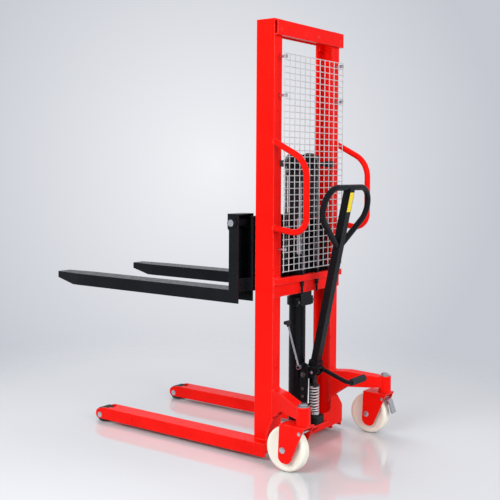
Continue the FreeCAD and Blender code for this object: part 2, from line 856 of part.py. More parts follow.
def fork():
    bottom = fork_top - fork_height
    tip = fork_tip_y()
    side = [(fork_rear, bottom), (tip - fork_tip_bevel, bottom), (tip, fork_top - fork_tip_height),
            (tip, fork_top), (fork_rear, fork_top)]
    blade = prism_x(side, fork_inner, fork_outer).common(prism_z(fork_plan(0, tip), bottom, fork_top))
    hollow = prism_z(fork_plan(fork_wall, tip - fork_tip_solid), bottom - 1, fork_top - fork_wall)
    blade = blade.cut(hollow)
    front = fork_rear + shank_depth
    eye = fork_rear + eye_depth
    eye_bottom = shank_top - eye_height
    cap = shank_top - fork_wall
    shank_side = [(fork_rear, fork_top - fork_wall), (front, fork_top - fork_wall), (front, eye_bottom - 8),
                  (eye, eye_bottom), (eye, shank_top), (fork_rear, shank_top)]
    shank = prism_x(shank_side, fork_inner, fork_outer)
    room_side = [(fork_rear, fork_top), (front - fork_wall, fork_top), (front - fork_wall, eye_bottom - 8),
                 (eye - fork_wall, eye_bottom), (eye - fork_wall, cap), (fork_rear, cap)]
    shank = shank.cut(prism_x(room_side, fork_inner + fork_wall, fork_outer - fork_wall))
    heel = box(fork_inner, fork_outer, fork_rear, fork_rear + fork_wall, fork_top - fork_wall,
               heel_plate_top)
    bush = rod((fork_inner, shaft_y, shaft_z), (fork_outer, shaft_y, shaft_z),
               shaft_radius + fork_bush_wall)
    hole = rod((0, shaft_y, shaft_z), (2 * fork_outer, shaft_y, shaft_z), shaft_radius + running_fit)
    return fused([blade, shank, heel, bush]).cut(hole)


def caster_yoke():
    front = caster_y + yoke_front
    rear = caster_y - yoke_rear
    under = yoke_top - yoke_plate
    side = [(front, yoke_top), (front + 7, yoke_foot_z + 8, 28), (wheel_y - 33, yoke_foot_z, 28),
            (rear + 11, yoke_top - 30, 6), (rear, yoke_top)]
    inner = yoke_gap
    outer = yoke_gap + yoke_cheek
    cheek = prism_x(side, caster_x + inner, caster_x + outer)
    other = prism_x(side, caster_x - outer, caster_x - inner)
    plate = box(caster_x - outer, caster_x + outer, rear, front, under, yoke_top)
    boss = rod((caster_x, caster_y, under), (caster_x, caster_y, sleeve_bottom - face_gap), 2 * king_radius)
    yoke = fused([cheek, other, plate, boss])
    left = caster_x - 2 * outer
    right = caster_x + 2 * outer
    axle = rod((left, wheel_y, wheel_radius), (right, wheel_y, wheel_radius),
               wheel_axle_radius + running_fit)
    cross = rod((left, cross_bolt_y, cross_bolt_z), (right, cross_bolt_y, cross_bolt_z),
                cross_bolt_radius + running_fit)
    king = rod((caster_x, caster_y, 0), (caster_x, caster_y, mast_height), king_radius + running_fit)
    return yoke.cut(axle).cut(cross).cut(king)


def king_pin():
    under = yoke_top - yoke_plate
    seat = sleeve_top + face_gap
    nut_z = seat + 4
    nut_top = nut_z + king_nut_height
    profile = [(0, under - 6), (king_radius + 6, under - 6), (king_radius + 6, under), (king_radius, under),
               (king_radius, seat), (king_washer_radius, seat), (king_washer_radius, nut_z), (king_radius,
                                                                                              nut_z),
               (king_radius, nut_top + 3), (0, nut_top + 3)]
    stem = turned(profile, (caster_x, caster_y, 0), Z_AXIS)
    nut = hexagon((caster_x, caster_y, nut_z), (caster_x, caster_y, nut_top), king_nut_radius)
    return fused([stem, nut])


def through_bolt(y, z, radius, head_radius, head_height):
    """Bolt across both cheeks of a caster yoke, with a domed head at each end."""
    outer = yoke_gap + yoke_cheek
    shank = rod((caster_x - outer, y, z), (caster_x + outer, y, z), radius)
    right = head((caster_x + outer, y, z), X_AXIS, head_radius, head_height)
    left = head((caster_x - outer, y, z), -X_AXIS, head_radius, head_height)
    return fused([shank, right, left])


def caster_bolts():
    axle = through_bolt(wheel_y, wheel_radius, wheel_axle_radius, bolt_head_radius, bolt_head_height)
    cross = through_bolt(cross_bolt_y, cross_bolt_z, cross_bolt_radius, 8, 4)
    return Part.makeCompound([axle, cross])


def caster_wheel():
    bore = wheel_axle_radius + running_fit
    hub = yoke_gap - face_gap
    half = wheel_width / 2
    rim = wheel_radius
    dish = rim - 16
    web = 11
    profile = [(bore, -hub), (wheel_hub_radius - 4, -hub), (wheel_hub_radius, -half),
               (wheel_hub_radius + 4, -web),
               (dish - 4, -web), (dish, -half), (rim - 9, -half), (rim - 2, 9 - half), (rim, 14 - half),
               (rim, half - 14), (rim - 2, half - 9), (rim - 9, half), (dish, half), (dish - 4, web),
               (wheel_hub_radius + 4, web), (wheel_hub_radius, half), (wheel_hub_radius - 4, hub), (bore,
                                                                                                    hub)]
    return turned(profile, (caster_x, wheel_y, wheel_radius), X_AXIS)


def brake_pedal():
    y = cross_bolt_y
    z = cross_bolt_z
    hub = rod((caster_x - brake_width / 2, y, z), (caster_x + brake_width / 2, y, z), brake_hub_radius)
    run = brake_run
    drop = brake_drop
    back = [(y, z + brake_hub_radius - 1), (y - 0.55 * run, z - 0.1 * drop, 12), (y - run, z - drop),
            (y - run + brake_plate, z - drop - 2), (y - 0.55 * run + 2, z - 0.1 * drop - 12, 8), (y, z - 6)]
    tread = prism_x(back, caster_x - brake_width / 2, caster_x + brake_width / 2)
    hole = rod((0, y, z), (2 * caster_x, y, z), cross_bolt_radius + running_fit)
    return fused([hub, tread]).cut(hole)


def pump_block():
    outline = [(-pump_half, -pump_rear, 16), (pump_half, -pump_rear, 16), (pump_half, pump_front),
               (-pump_half, pump_front)]
    block = prism_z(outline, base_top, pump_top)
    bore = rod((0, plunger_y, base_top + 4), (0, plunger_y, pump_top), plunger_radius + running_fit)
    return block.cut(bore)


def plunger_collar():
    bore = plunger_radius + running_fit
    rim = plunger_collar_radius
    profile = [(bore, pump_top), (rim - 3, pump_top), (rim, pump_top + 4), (rim, spring_foot), (bore,
                                                                                                spring_foot)]
    return turned(profile, (0, plunger_y, 0), Z_AXIS)


def pump_bracket():
    half = bracket_width / 2
    eye = pivot_z + 2 * pivot_radius
    rear = pivot_y - half
    ear = rear - bracket_ear
    ear_low = eye - bracket_ear_height
    outline = [(rear, pump_top), (pivot_y + half, pump_top), (pivot_y + half, bracket_rise, bracket_corner),
               (rear, bracket_rise, bracket_corner), (ear, eye, bracket_ear_corner),
               (ear, ear_low, bracket_ear_corner)]
    outer = bracket_inner + bracket_wall
    plate = prism_x(outline, bracket_inner, outer)
    post = rod((-outer, release_y, release_z), (release_x - release_hub_width / 2 - 4, release_y,
                                                release_z),
               release_pin_radius)
    front = pivot_y + half
    tie = box(-bracket_inner, bracket_inner, front - bracket_tie, front, pump_top,
              pump_top + bracket_tie_height)
    bracket = fused([plate, mirrored(plate), post, tie])
    hole = rod((-2 * outer, pivot_y, pivot_z), (2 * outer, pivot_y, pivot_z), pivot_radius + running_fit)
    return bracket.cut(hole)


def pivot_shaft():
    outer = bracket_inner + bracket_wall
    shank = rod((-outer, pivot_y, pivot_z), (outer, pivot_y, pivot_z), pivot_radius)
    right = head((outer, pivot_y, pivot_z), X_AXIS, pivot_radius + 3, 6)
    return fused([shank, right, mirrored(right)])


def pump_plunger():
    foot = pump_top + collar_height + 24 - plunger_foot
    seat = seat_z + face_gap
    profile = [(0, foot), (plunger_radius, foot), (plunger_radius, seat), (seat_radius, seat),
               (seat_radius, seat + seat_height - 2), (seat_radius - 2, seat + seat_height),
               (plunger_radius, seat + seat_height), (plunger_radius, plunger_top - 4),
               (plunger_radius - 3, plunger_top),
               (0, plunger_top)]
    stem = turned(profile, (0, plunger_y, 0), Z_AXIS)
    nut_z = seat + seat_height + 7
    nut = hexagon((0, plunger_y, nut_z), (0, plunger_y, nut_z + plunger_nut_height), plunger_nut_radius)
    return fused([stem, nut])


def arc_between(a, tangent, b):
    """Arc from a to b that leaves a along the tangent."""
    chord = b - a
    unit = V(chord).normalize()
    side = (tangent - unit * tangent.dot(unit)).normalize()
    angle = tangent.getAngle(chord)
    middle = (a + b) * 0.5 + side * (chord.Length / 2 * math.tan(angle / 2))
    return Part.Arc(a, middle, b).toShape()


def spring_path():
    """Helix of quarter turns, each drawn as two tangent arcs."""
    radius = (spring_outer - spring_wire) / 2
    low = spring_foot + face_gap + spring_wire / 2
    high = spring_top - spring_wire / 2
    quarters = int(round(4 * spring_turns))
    rise = (high - low) / quarters
    points = []
    tangents = []
    for i in range(quarters + 1):
        angle = i * math.pi / 2
        points.append(V(radius * math.cos(angle), plunger_y + radius * math.sin(angle), low + rise * i))
        lead = V(-radius * math.sin(angle), radius * math.cos(angle), rise * 2 / math.pi)
        tangents.append(lead.normalize())
    edges = []
    for i in range(quarters):
        span = points[i + 1] - points[i]
        lean = tangents[i] + tangents[i + 1]
        turn = 2 * (1 - tangents[i].dot(tangents[i + 1]))
        along = span.dot(lean)
        reach = (math.sqrt(along * along + turn * span.dot(span)) - along) / turn
        joint = (points[i] + tangents[i] * reach + points[i + 1] - tangents[i + 1] * reach) * 0.5
        chord = points[i + 1] - tangents[i + 1] * reach - points[i] - tangents[i] * reach
        middle_tangent = chord.normalize()
        edges.append(arc_between(points[i], tangents[i], joint))
        edges.append(arc_between(joint, middle_tangent, points[i + 1]))
    return Part.Wire(edges), points[0], tangents[0]


def return_spring():
    path, start, tangent = spring_path()
    ring = Part.Wire(Part.makeCircle(spring_wire / 2, start, tangent))
    coil = path.makePipeShell([ring], True, False)
    dots = path.discretize(Number=int(24 * spring_turns) + 1)
    least = min((dots[i] - dots[j]).Length for i in range(len(dots)) for j in range(i + 12, len(dots)))
    print("return spring: least gap to itself %.2f mm" % (least - spring_wire))
    return coil


def leaned(shape):
    shape.rotate(V(0, stem_foot_y, rocker_top), X_AXIS, stem_lean)
    return shape


def stem_solid():
    half = stem_width / 2
    deep = stem_depth / 2
    foot = rocker_top + 6
    top = rocker_top + loop_top
    outer = box(-half, half, stem_foot_y - deep, stem_foot_y + deep, foot, top)
    half -= stem_wall
    deep -= stem_wall
    hollow = box(-half, half, stem_foot_y - deep, stem_foot_y + deep, foot, top)
    return leaned(outer.cut(hollow))


def loop_solid():
    def spot(x, along):
        return (x, stem_foot_y, rocker_top + along)
    points = [(spot(-stem_width / 4, loop_foot), 0), (spot(-loop_wide_half, loop_wide), loop_side_bend),
              (spot(-loop_corner_half, loop_top), loop_top_bend), (spot(loop_corner_half, loop_top),
                                                                   loop_top_bend),
              (spot(loop_wide_half, loop_wide), loop_side_bend), (spot(stem_width / 4, loop_foot), 0)]
    return leaned(tube(points, loop_tube))


def tiller_stem():
    bar = leaned(rod((-loop_wide_half, stem_foot_y, rocker_top + loop_top),
                     (loop_wide_half, stem_foot_y, rocker_top + loop_top), loop_tube / 2 + wire_gap))
    return stem_solid().cut(bar)


def tiller_loop():
    half = stem_width / 2 + wire_gap
    deep = stem_depth
    core = leaned(box(-half, half, stem_foot_y - deep, stem_foot_y + deep, rocker_top,
                      rocker_top + loop_top - loop_tube))
    return loop_solid().cut(core)


def rocker_casting():
    inner = rocker_inner
    outer = rocker_inner + rocker_wall
    side = [(rocker_front, rocker_bottom, 14), (rocker_front, rocker_top), (-rocker_rear, rocker_top),
            (-rocker_rear, rocker_top - 22, 10), (plunger_y - 12, rocker_roller_z - 20, 14),
            (pivot_y - rocker_hub, rocker_bottom, 14)]
    cheek = prism_x(side, inner, outer)
    bridge = box(-outer, outer, -rocker_rear, rocker_front, rocker_top - rocker_bridge, rocker_top)
    reach = bracket_inner - face_gap
    hub = rod((-reach, pivot_y, pivot_z), (reach, pivot_y, pivot_z), rocker_hub)
    half = stem_width / 2 + wire_gap
    deep = stem_depth / 2 + wire_gap
    wall = socket_wall
    sleeve = box(-half - wall, half + wall, stem_foot_y - deep - wall, stem_foot_y + deep + wall,
                 rocker_top - 2, rocker_top + socket_height)
    room = box(-half, half, stem_foot_y - deep, stem_foot_y + deep, rocker_top + 6,
               rocker_top + 2 * socket_height)
    below = box(-outer, outer, stem_foot_y - rocker_rear, stem_foot_y + rocker_rear, rocker_bottom,
                rocker_top - rocker_bridge)
    socket = leaned(sleeve.cut(room)).cut(below)
    casting = fused([cheek, mirrored(cheek), bridge, hub, socket])
    bore = rod((-2 * outer, pivot_y, pivot_z), (2 * outer, pivot_y, pivot_z), pivot_radius + running_fit)
    pin = rod((-2 * outer, plunger_y, rocker_roller_z), (2 * outer, plunger_y, rocker_roller_z),
              rocker_roller_pin + running_fit)
    return casting.cut(bore).cut(pin)


def rocker_roller():
    outer = rocker_inner + rocker_wall
    half = rocker_inner - face_gap
    roller = rod((-half, plunger_y, rocker_roller_z), (half, plunger_y, rocker_roller_z),
                 rocker_roller_radius)
    pin = rod((-outer, plunger_y, rocker_roller_z), (outer, plunger_y, rocker_roller_z), rocker_roller_pin)
    cap = head((outer, plunger_y, rocker_roller_z), X_AXIS, rocker_roller_pin + 3, 4)
    return fused([roller, pin, cap, mirrored(cap)])


def pedal_bar():
    start = rocker_inner + rocker_wall
    points = [((start, pedal_start_y, pedal_start_z), 0), ((pedal_x, pedal_start_y, pedal_start_z),
                                                           pedal_bend / 2),
              ((pedal_x, pedal_end_y, pedal_end_z), pedal_bend), ((pedal_end_x, pedal_end_y, pedal_end_z),
                                                                  0)]
    return tube(points, pedal_tube)


def pedal_sleeve():
    bore = pedal_tube / 2 + running_fit
    rim = pedal_sleeve_radius
    length = pedal_sleeve_length
    profile = [(bore, 0), (rim - 2, 0), (rim, 3), (rim, length), (rim - 3, length + 5), (0, length + 5),
               (0, length), (bore, length)]
    return turned(profile, (pedal_end_x - length, pedal_end_y, pedal_end_z), X_AXIS)


def release_tip():
    return (release_x, release_y + release_run, release_z + release_rise)


def release_lever():
    half = release_hub_width / 2
    hub = rod((release_x - half, release_y, release_z), (release_x + half, release_y, release_z),
              release_hub_radius)
    stick = rod((release_x, release_y, release_z), release_tip(), release_radius)
    hole = rod((2 * release_x, release_y, release_z), (0, release_y, release_z),
               release_pin_radius + running_fit)
    return fused([hub, stick]).cut(hole)


def release_knob():
    tip = V(*release_tip())
    along = V(0, release_run, release_rise).normalize()
    half = knob_length / 2
    centre = tip - along * (knob_radius * 0.4)
    profile = [(0, -half), (knob_radius - 3, -half), (knob_radius, 3 - half), (knob_radius, half - 3),
               (knob_radius - 3, half), (0, half)]
    grip = turned(profile, (centre.x, centre.y, centre.z), X_AXIS)
    neck_start = tip - along * (2.6 * knob_radius)
    neck = Part.makeCylinder(release_radius + 3, 2.2 * knob_radius, neck_start, along)
    room = Part.makeCylinder(release_radius + running_fit, 4 * knob_radius,
                             tip - along * (4 * knob_radius), along)
    return fused([grip, neck]).cut(room)


def pieces():
    right_upright = upright()
    right_leg = leg()
    right_arm = caster_arm()
    right_grab = grab_bar()
    right_fork = fork()
    right_yoke = caster_yoke()
    right_king = king_pin()
    right_bolts = caster_bolts()
    right_wheel = caster_wheel()
    right_roller = load_roller()
    return {
        "left_upright": mirrored(right_upright), "right_upright": right_upright,
        "top_crossbar": top_crossbar(), "top_front_tie": top_front_tie(), "frame_bolts": frame_bolts(),
        "middle_crossbeam": middle_crossbeam(), "base_crossbeam": base_crossbeam(),
        "left_leg": mirrored(right_leg), "right_leg": right_leg, "roller_axles": roller_axles(),
        "left_caster_arm": mirrored(right_arm), "right_caster_arm": right_arm,
        "left_grab_bar": mirrored(right_grab), "right_grab_bar": right_grab,
        "mesh_guard": mesh_guard(), "mesh_screws": mesh_screws(),
        "lift_cylinder": lift_cylinder(), "cylinder_clamp": cylinder_clamp(),
        "chain_anchors": chain_anchors(),
        "rear_chains": strand(chain_rear_y, anchor_top, pulley_z), "chain_wraps": chain_wraps(),
        "front_chains": strand(chain_front_y, lug_top, pulley_z), "chain_pulleys": chain_pulleys(),
        "pulley_pins": pulley_pins(), "piston_rod": piston_rod(), "lift_crosshead": lift_crosshead(),
        "crosshead_shoes": crosshead_shoes(), "carriage_frame": carriage_frame(),
        "guide_roller_pins": guide_roller_pins(), "lower_guide_rollers": guide_rollers(lower_roller_z),
        "upper_guide_rollers": guide_rollers(upper_roller_z), "fork_shaft": fork_shaft(),
        "shaft_collars": shaft_collars(), "left_fork": mirrored(right_fork), "right_fork": right_fork,
        "pump_block": pump_block(), "pump_bracket": pump_bracket(), "plunger_collar": plunger_collar(),
        "pivot_shaft": pivot_shaft(), "pump_plunger": pump_plunger(), "return_spring": return_spring(),
        "rocker_casting": rocker_casting(), "rocker_roller": rocker_roller(), "tiller_stem": tiller_stem(),
        "tiller_loop": tiller_loop(), "pedal_bar": pedal_bar(), "pedal_sleeve": pedal_sleeve(),
        "release_lever": release_lever(), "release_knob": release_knob(),
        "left_caster_yoke": mirrored(right_yoke), "right_caster_yoke": right_yoke,
        "left_king_pin": mirrored(right_king), "right_king_pin": right_king,
        "left_caster_bolts": mirrored(right_bolts), "right_caster_bolts": right_bolts,
        "left_wheel": mirrored(right_wheel), "right_wheel": right_wheel, "brake_pedal": brake_pedal(),
        "left_load_roller": mirrored(right_roller), "right_load_roller": right_roller,
    }


def main():
    os.makedirs("parts", exist_ok=True)
    model = pieces()
    overall = Part.makeCompound(list(model.values())).BoundBox
    shift = V(0, -(overall.YMin + overall.YMax) / 2, 0)
    print("mast rear plane at y %.3f mm, pieces %d" % (shift.y, len(model)))
    for name, shape in model.items():
        shape.translate(shift)
        shape.exportStep("parts/%s.step" % name)


main()
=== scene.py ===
"""Hand pallet stacker: finishes, fine detail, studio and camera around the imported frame."""

import logging
import math
from dataclasses import dataclass, field
from enum import Enum
from typing import Callable, Iterable, Sequence

import bpy
from mathutils import Matrix, Vector


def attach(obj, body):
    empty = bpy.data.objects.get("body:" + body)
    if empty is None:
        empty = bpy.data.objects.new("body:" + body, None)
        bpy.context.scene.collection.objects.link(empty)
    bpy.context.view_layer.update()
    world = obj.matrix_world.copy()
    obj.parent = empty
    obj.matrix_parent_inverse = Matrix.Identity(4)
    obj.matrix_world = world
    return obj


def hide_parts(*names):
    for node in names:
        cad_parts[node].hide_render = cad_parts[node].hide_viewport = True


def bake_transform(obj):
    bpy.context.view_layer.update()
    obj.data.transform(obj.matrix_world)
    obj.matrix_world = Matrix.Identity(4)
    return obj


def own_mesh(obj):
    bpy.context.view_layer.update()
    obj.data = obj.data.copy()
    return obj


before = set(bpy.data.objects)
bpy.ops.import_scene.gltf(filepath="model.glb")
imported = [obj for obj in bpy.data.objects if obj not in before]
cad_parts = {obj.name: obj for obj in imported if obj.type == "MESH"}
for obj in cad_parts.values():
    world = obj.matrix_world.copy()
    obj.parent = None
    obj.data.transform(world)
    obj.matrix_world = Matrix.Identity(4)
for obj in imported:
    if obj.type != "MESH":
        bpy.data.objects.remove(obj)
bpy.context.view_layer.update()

Colour = tuple[float, float, float]
Point = tuple[float, float, float]
Profile = Sequence[tuple[float, float]]
Placer = Callable[[float, float, float], Vector]
Node = bpy.types.Node
Socket = bpy.types.NodeSocket

SIDES = {"left": -1.0, "right": 1.0}  # sign of X on each side
MAST_REAR = -0.548  # depth of the uprights' rear faces
X_AXIS = Vector((1, 0, 0))
Y_AXIS = Vector((0, 1, 0))

log = logging.getLogger("stacker")


def full_turn(count: int) -> list[float]:
    """Returns so many even angles round a circle."""
    return [2.0 * math.pi * i / count for i in range(count)]


def circle(centre: Vector, across: Vector, other: Vector, radius: float,
           sides: int) -> list[Vector]:
    """Returns even points on a circle that runs from across towards other."""
    return [centre + (across * math.cos(t) + other * math.sin(t)) * radius
            for t in full_turn(sides)]


def between(start: Vector, end: Vector, count: int) -> list[Vector]:
    """Returns count + 1 even points from start to end."""
    return [start.lerp(end, i / count) for i in range(count + 1)]


def heading(yaw: float, pitch: float) -> Vector:
    """Turns two angles into a direction.

    Args:
        yaw: Turn from +Y towards +X in degrees.
        pitch: Tilt above the horizon in degrees.

    Returns:
        The direction, one unit long.
    """
    turn, tilt = math.radians(yaw), math.radians(pitch)
    return Vector((math.sin(turn) * math.cos(tilt), math.cos(turn) * math.cos(tilt),
                   math.sin(tilt)))


class Grain(Enum):
    """Fine texture of a finish."""

    ORANGE_PEEL = "orange_peel"
    SPANGLE = "spangle"
    TURNED = "turned"
    CAST = "cast"
    MOULDED = "moulded"


@dataclass(frozen=True)
class Finish:
    """One surface finish, turned into a procedural material on request.

    Attributes:
        name: Material name.
        slot: Slot of the record that the finish belongs to, if it has one; not used.
        colour: Main colour, linear.
        tint: Second tone that drifts slowly over the surface.
        edge: Lighter tone on sharp edges, partly worn, thinly coated paint and partly a painted
            highlight that stands in for light caught by the edges.
        roughness: Middle roughness.
        spread: How far the roughness strays from the middle.
        grain: Kind of fine texture.
        grain_scale: Repeats of the fine texture in a metre.
        relief: Height of the fine texture in metres.
        metallic: Share of metal.
        specular: Strength of the surface reflection.
        edge_wear_and_highlight: How strongly the edge tone of worn paint and painted highlight
            shows.
        rounding: Radius of the shaded edges in metres.
        glow: Share of light that scatters under the surface.
    """

    name: str
    slot: str | None
    colour: Colour
    tint: Colour
    edge: Colour
    roughness: float
    spread: float
    grain: Grain
    grain_scale: float
    relief: float
    metallic: float = 0.0
    specular: float = 0.5
    edge_wear_and_highlight: float = 0.5
    rounding: float = 0.0022
    glow: float = 0.0

    def material(self) -> bpy.types.Material:
        """Returns the material of this finish, made once."""
        return bpy.data.materials.get(self.name) or FinishNodes(self).material


class Nodes:
    """Adds and joins the nodes of one shader tree."""

    # A mix node repeats its sockets for each kind of value; these are the ones for colours.
    MIX_FIRST, MIX_SECOND, MIX_RESULT = 6, 7, 2

    def __init__(self, tree: bpy.types.NodeTree) -> None:
        """Works in the given tree."""
        self.tree = tree

    def node(self, kind: str, **values: object) -> Node:
        """Adds a node.

        Args:
            kind: Blender's name of the node type.
            values: Attributes to set on it.

        Returns:
            The new node.
        """
        made = self.tree.nodes.new(kind)
        for key, value in values.items():
            setattr(made, key, value)
        return made

    def link(self, source: Socket, target: Socket) -> None:
        """Joins an output to an input."""
        self.tree.links.new(source, target)

    def spread(self, value: Socket, low: float, high: float, start: float = 0.0, end: float = 1.0,
               curve: str = "LINEAR") -> Socket:
        """Maps a field from one range to another.

        Args:
            value: The field.
            low: Result where the field is at start.
            high: Result where the field is at end.
            start: One end of the field's range.
            end: Other end of the field's range.
            curve: Blender's name of the way from one to the other.

        Returns:
            The mapped field.
        """
        made = self.node("ShaderNodeMapRange", interpolation_type=curve)
        ranges = (("From Min", start), ("From Max", end), ("To Min", low), ("To Max", high))
        for name, number in ranges:
            made.inputs[name].default_value = number
        self.link(value, made.inputs["Value"])
        return made.outputs["Result"]

    def mixed(self, share: Socket, first: Socket | Colour, second: Colour) -> Socket:
        """Mixes two colours.

        Args:
            share: Field that gives the second colour's share.
            first: A colour or a colour output.
            second: The other colour.

        Returns:
            The mixed colour.
        """
        made = self.node("ShaderNodeMix", data_type="RGBA")
        self.link(share, made.inputs["Factor"])
        if isinstance(first, tuple):
            made.inputs[self.MIX_FIRST].default_value = (*first, 1.0)
        else:
            self.link(first, made.inputs[self.MIX_FIRST])
        made.inputs[self.MIX_SECOND].default_value = (*second, 1.0)
        return made.outputs[self.MIX_RESULT]

    def layered(self, share: Socket, first: Socket, second: Socket) -> Socket:
        """Mixes two shaders.

        Args:
            share: Field that gives the second shader's share.
            first: A shader output.
            second: The other shader output.

        Returns:
            The mixed shader.
        """
        made = self.node("ShaderNodeMixShader")
        self.link(share, made.inputs["Fac"])
        self.link(first, made.inputs[1])
        self.link(second, made.inputs[2])
        return made.outputs["Shader"]


class FinishNodes(Nodes):
    """Writes the shader nodes of one finish."""

    DRIFT_SCALE, DRIFT_DETAIL, DRIFT_BAND = 7.0, 3.0, (0.35, 0.7)
    SMEAR_SCALE, SMEAR_DETAIL = 38.0, 4.0
    # Least share and band of the smear field that breaks up the edge tone of worn paint and painted
    # highlight.
    RUBBED_LEAST, RUBBED_BAND = 0.35, (0.35, 0.6)
    ROUGH_BAND = (0.3, 0.7)
    EDGE_SAMPLES, EDGE_BAND = 4, (0.80, 0.985)
    GLOW_RADIUS, GLOW_SCALE = (0.004, 0.0035, 0.003), 1.0
    NOISE_DETAIL = {Grain.ORANGE_PEEL: 1.0, Grain.MOULDED: 2.0, Grain.CAST: 6.0}
    TURNED_WAVER = 1.5
    BUMP_STRENGTH = 0.5

    def __init__(self, finish: Finish) -> None:
        """Builds the whole tree.

        Args:
            finish: The finish to write.
        """
        self.finish = finish
        self.material = bpy.data.materials.new(finish.name)
        self.material.use_nodes = True
        super().__init__(self.material.node_tree)
        self.shader = self.tree.nodes["Principled BSDF"]
        self.place = self.node("ShaderNodeTexCoord").outputs["Object"]
        rounded = self.rounded_edges()
        drift = self.noise(self.DRIFT_SCALE, self.DRIFT_DETAIL)
        smear = self.noise(self.SMEAR_SCALE, self.SMEAR_DETAIL)
        self.set_constants()
        self.link(self.colour(rounded, drift, smear), self.shader.inputs["Base Color"])
        self.link(self.roughness(smear), self.shader.inputs["Roughness"])
        self.link(self.relief(rounded), self.shader.inputs["Normal"])

    def set_constants(self) -> None:
        """Writes the values that are the same all over the surface."""
        sockets = self.shader.inputs
        sockets["Metallic"].default_value = self.finish.metallic
        sockets["Specular IOR Level"].default_value = self.finish.specular
        if self.finish.glow:
            sockets["Subsurface Weight"].default_value = self.finish.glow
            sockets["Subsurface Radius"].default_value = self.GLOW_RADIUS
            sockets["Subsurface Scale"].default_value = self.GLOW_SCALE

    def texture(self, kind: str, scale: float, **values: object) -> Node:
        """Adds a texture in the piece's own space.

        Args:
            kind: Blender's name of the node type.
            scale: Repeats in a metre.
            values: Attributes to set on it.

        Returns:
            The new node.
        """
        made = self.node(kind, **values)
        made.inputs["Scale"].default_value = scale
        self.link(self.place, made.inputs["Vector"])
        return made

    def noise(self, scale: float, detail: float) -> Socket:
        """Adds a noise field.

        Args:
            scale: Repeats in a metre.
            detail: Octaves of finer noise.

        Returns:
            The field's value.
        """
        made = self.texture("ShaderNodeTexNoise", scale)
        made.inputs["Detail"].default_value = detail
        return made.outputs["Fac"]

    def rounded_edges(self) -> Node:
        """Shades sharp edges as if they were rounded.

        Returns:
            The edge rounding node.
        """
        made = self.node("ShaderNodeBevel", samples=self.EDGE_SAMPLES)
        made.inputs["Radius"].default_value = self.finish.rounding
        return made

    def edge_share(self, rounded: Node) -> Socket:
        """Finds the sharp edges, where the rounded normal leaves the true one.

        Args:
            rounded: The edge rounding node.

        Returns:
            A field with the strength of the finish's edge tone, worn paint and a painted highlight,
            on edges and zero on flats.
        """
        dot = self.node("ShaderNodeVectorMath", operation="DOT_PRODUCT")
        self.link(rounded.outputs["Normal"], dot.inputs[0])
        self.link(self.node("ShaderNodeNewGeometry").outputs["Normal"], dot.inputs[1])
        return self.spread(dot.outputs["Value"], self.finish.edge_wear_and_highlight, 0.0, *self.EDGE_BAND)

    def colour(self, rounded: Node, drift: Socket, smear: Socket) -> Socket:
        """Lays the drifting tone and the edge tone, worn paint and a painted highlight, over the
        main colour.

        Args:
            rounded: The edge rounding node.
            drift: Slow field for the second tone.
            smear: Quicker field that breaks up the edge tone.

        Returns:
            The surface colour.
        """
        toned = self.mixed(self.spread(drift, 0.0, 1.0, *self.DRIFT_BAND), self.finish.colour,
                           self.finish.tint)
        # Share of the edge tone on sharp edges: worn, thin paint and a painted highlight, broken up
        # by the smear field.
        worn_and_highlit = self.node("ShaderNodeMath", operation="MULTIPLY")
        self.link(self.edge_share(rounded), worn_and_highlit.inputs[0])
        self.link(self.spread(smear, self.RUBBED_LEAST, 1.0, *self.RUBBED_BAND), worn_and_highlit.inputs[1])
        return self.mixed(worn_and_highlit.outputs["Value"], toned, self.finish.edge)

    def roughness(self, smear: Socket) -> Socket:
        """Returns the roughness, which strays with the smear field."""
        middle, stray = self.finish.roughness, self.finish.spread
        return self.spread(smear, middle - stray, middle + stray, *self.ROUGH_BAND)

    def height(self) -> Socket:
        """Adds the fine texture of the finish's grain.

        Returns:
            The texture's height.
        """
        scale = self.finish.grain_scale
        if self.finish.grain is Grain.SPANGLE:
            return self.texture("ShaderNodeTexVoronoi", scale).outputs["Distance"]
        if self.finish.grain is Grain.TURNED:
            bands = self.texture("ShaderNodeTexWave", scale, wave_type="BANDS",
                                 bands_direction="DIAGONAL")
            bands.inputs["Distortion"].default_value = self.TURNED_WAVER
            return bands.outputs["Fac"]
        return self.noise(scale, self.NOISE_DETAIL[self.finish.grain])

    def relief(self, rounded: Node) -> Socket:
        """Lays the fine texture over the rounded edges.

        Args:
            rounded: The edge rounding node.

        Returns:
            The shading normal.
        """
        bump = self.node("ShaderNodeBump")
        bump.inputs["Strength"].default_value = self.BUMP_STRENGTH
        bump.inputs["Distance"].default_value = self.finish.relief
        self.link(self.height(), bump.inputs["Height"])
        self.link(rounded.outputs["Normal"], bump.inputs["Normal"])
        return bump.outputs["Normal"]


# Each finish's edge colour is lighter than its main colour: partly worn paint and partly a painted
# highlight along sharp edges.
RED_PAINT = Finish(
    name="red_powder_coat", slot="red_paint",
    colour=(0.87, 0.007, 0.003), tint=(0.80, 0.005, 0.002), edge=(0.94, 0.17, 0.14),
    roughness=0.32, spread=0.06, grain=Grain.ORANGE_PEEL, grain_scale=420.0, relief=0.0004,
    specular=0.10, edge_wear_and_highlight=0.85, rounding=0.004)
BLACK_PAINT = Finish(
    name="black_satin_paint", slot="black_paint",
    colour=(0.005, 0.006, 0.0072), tint=(0.0075, 0.0085, 0.0105), edge=(0.06, 0.064, 0.072),
    roughness=0.28, spread=0.06, grain=Grain.ORANGE_PEEL, grain_scale=460.0, relief=0.0004,
    specular=0.12, edge_wear_and_highlight=0.8)
ZINC = Finish(
    name="zinc_plate", slot="zinc_steel",
    colour=(0.66, 0.67, 0.69), tint=(0.56, 0.575, 0.60), edge=(0.80, 0.81, 0.83),
    roughness=0.30, spread=0.08, grain=Grain.SPANGLE, grain_scale=260.0, relief=0.0002,
    metallic=1.0, rounding=0.001)
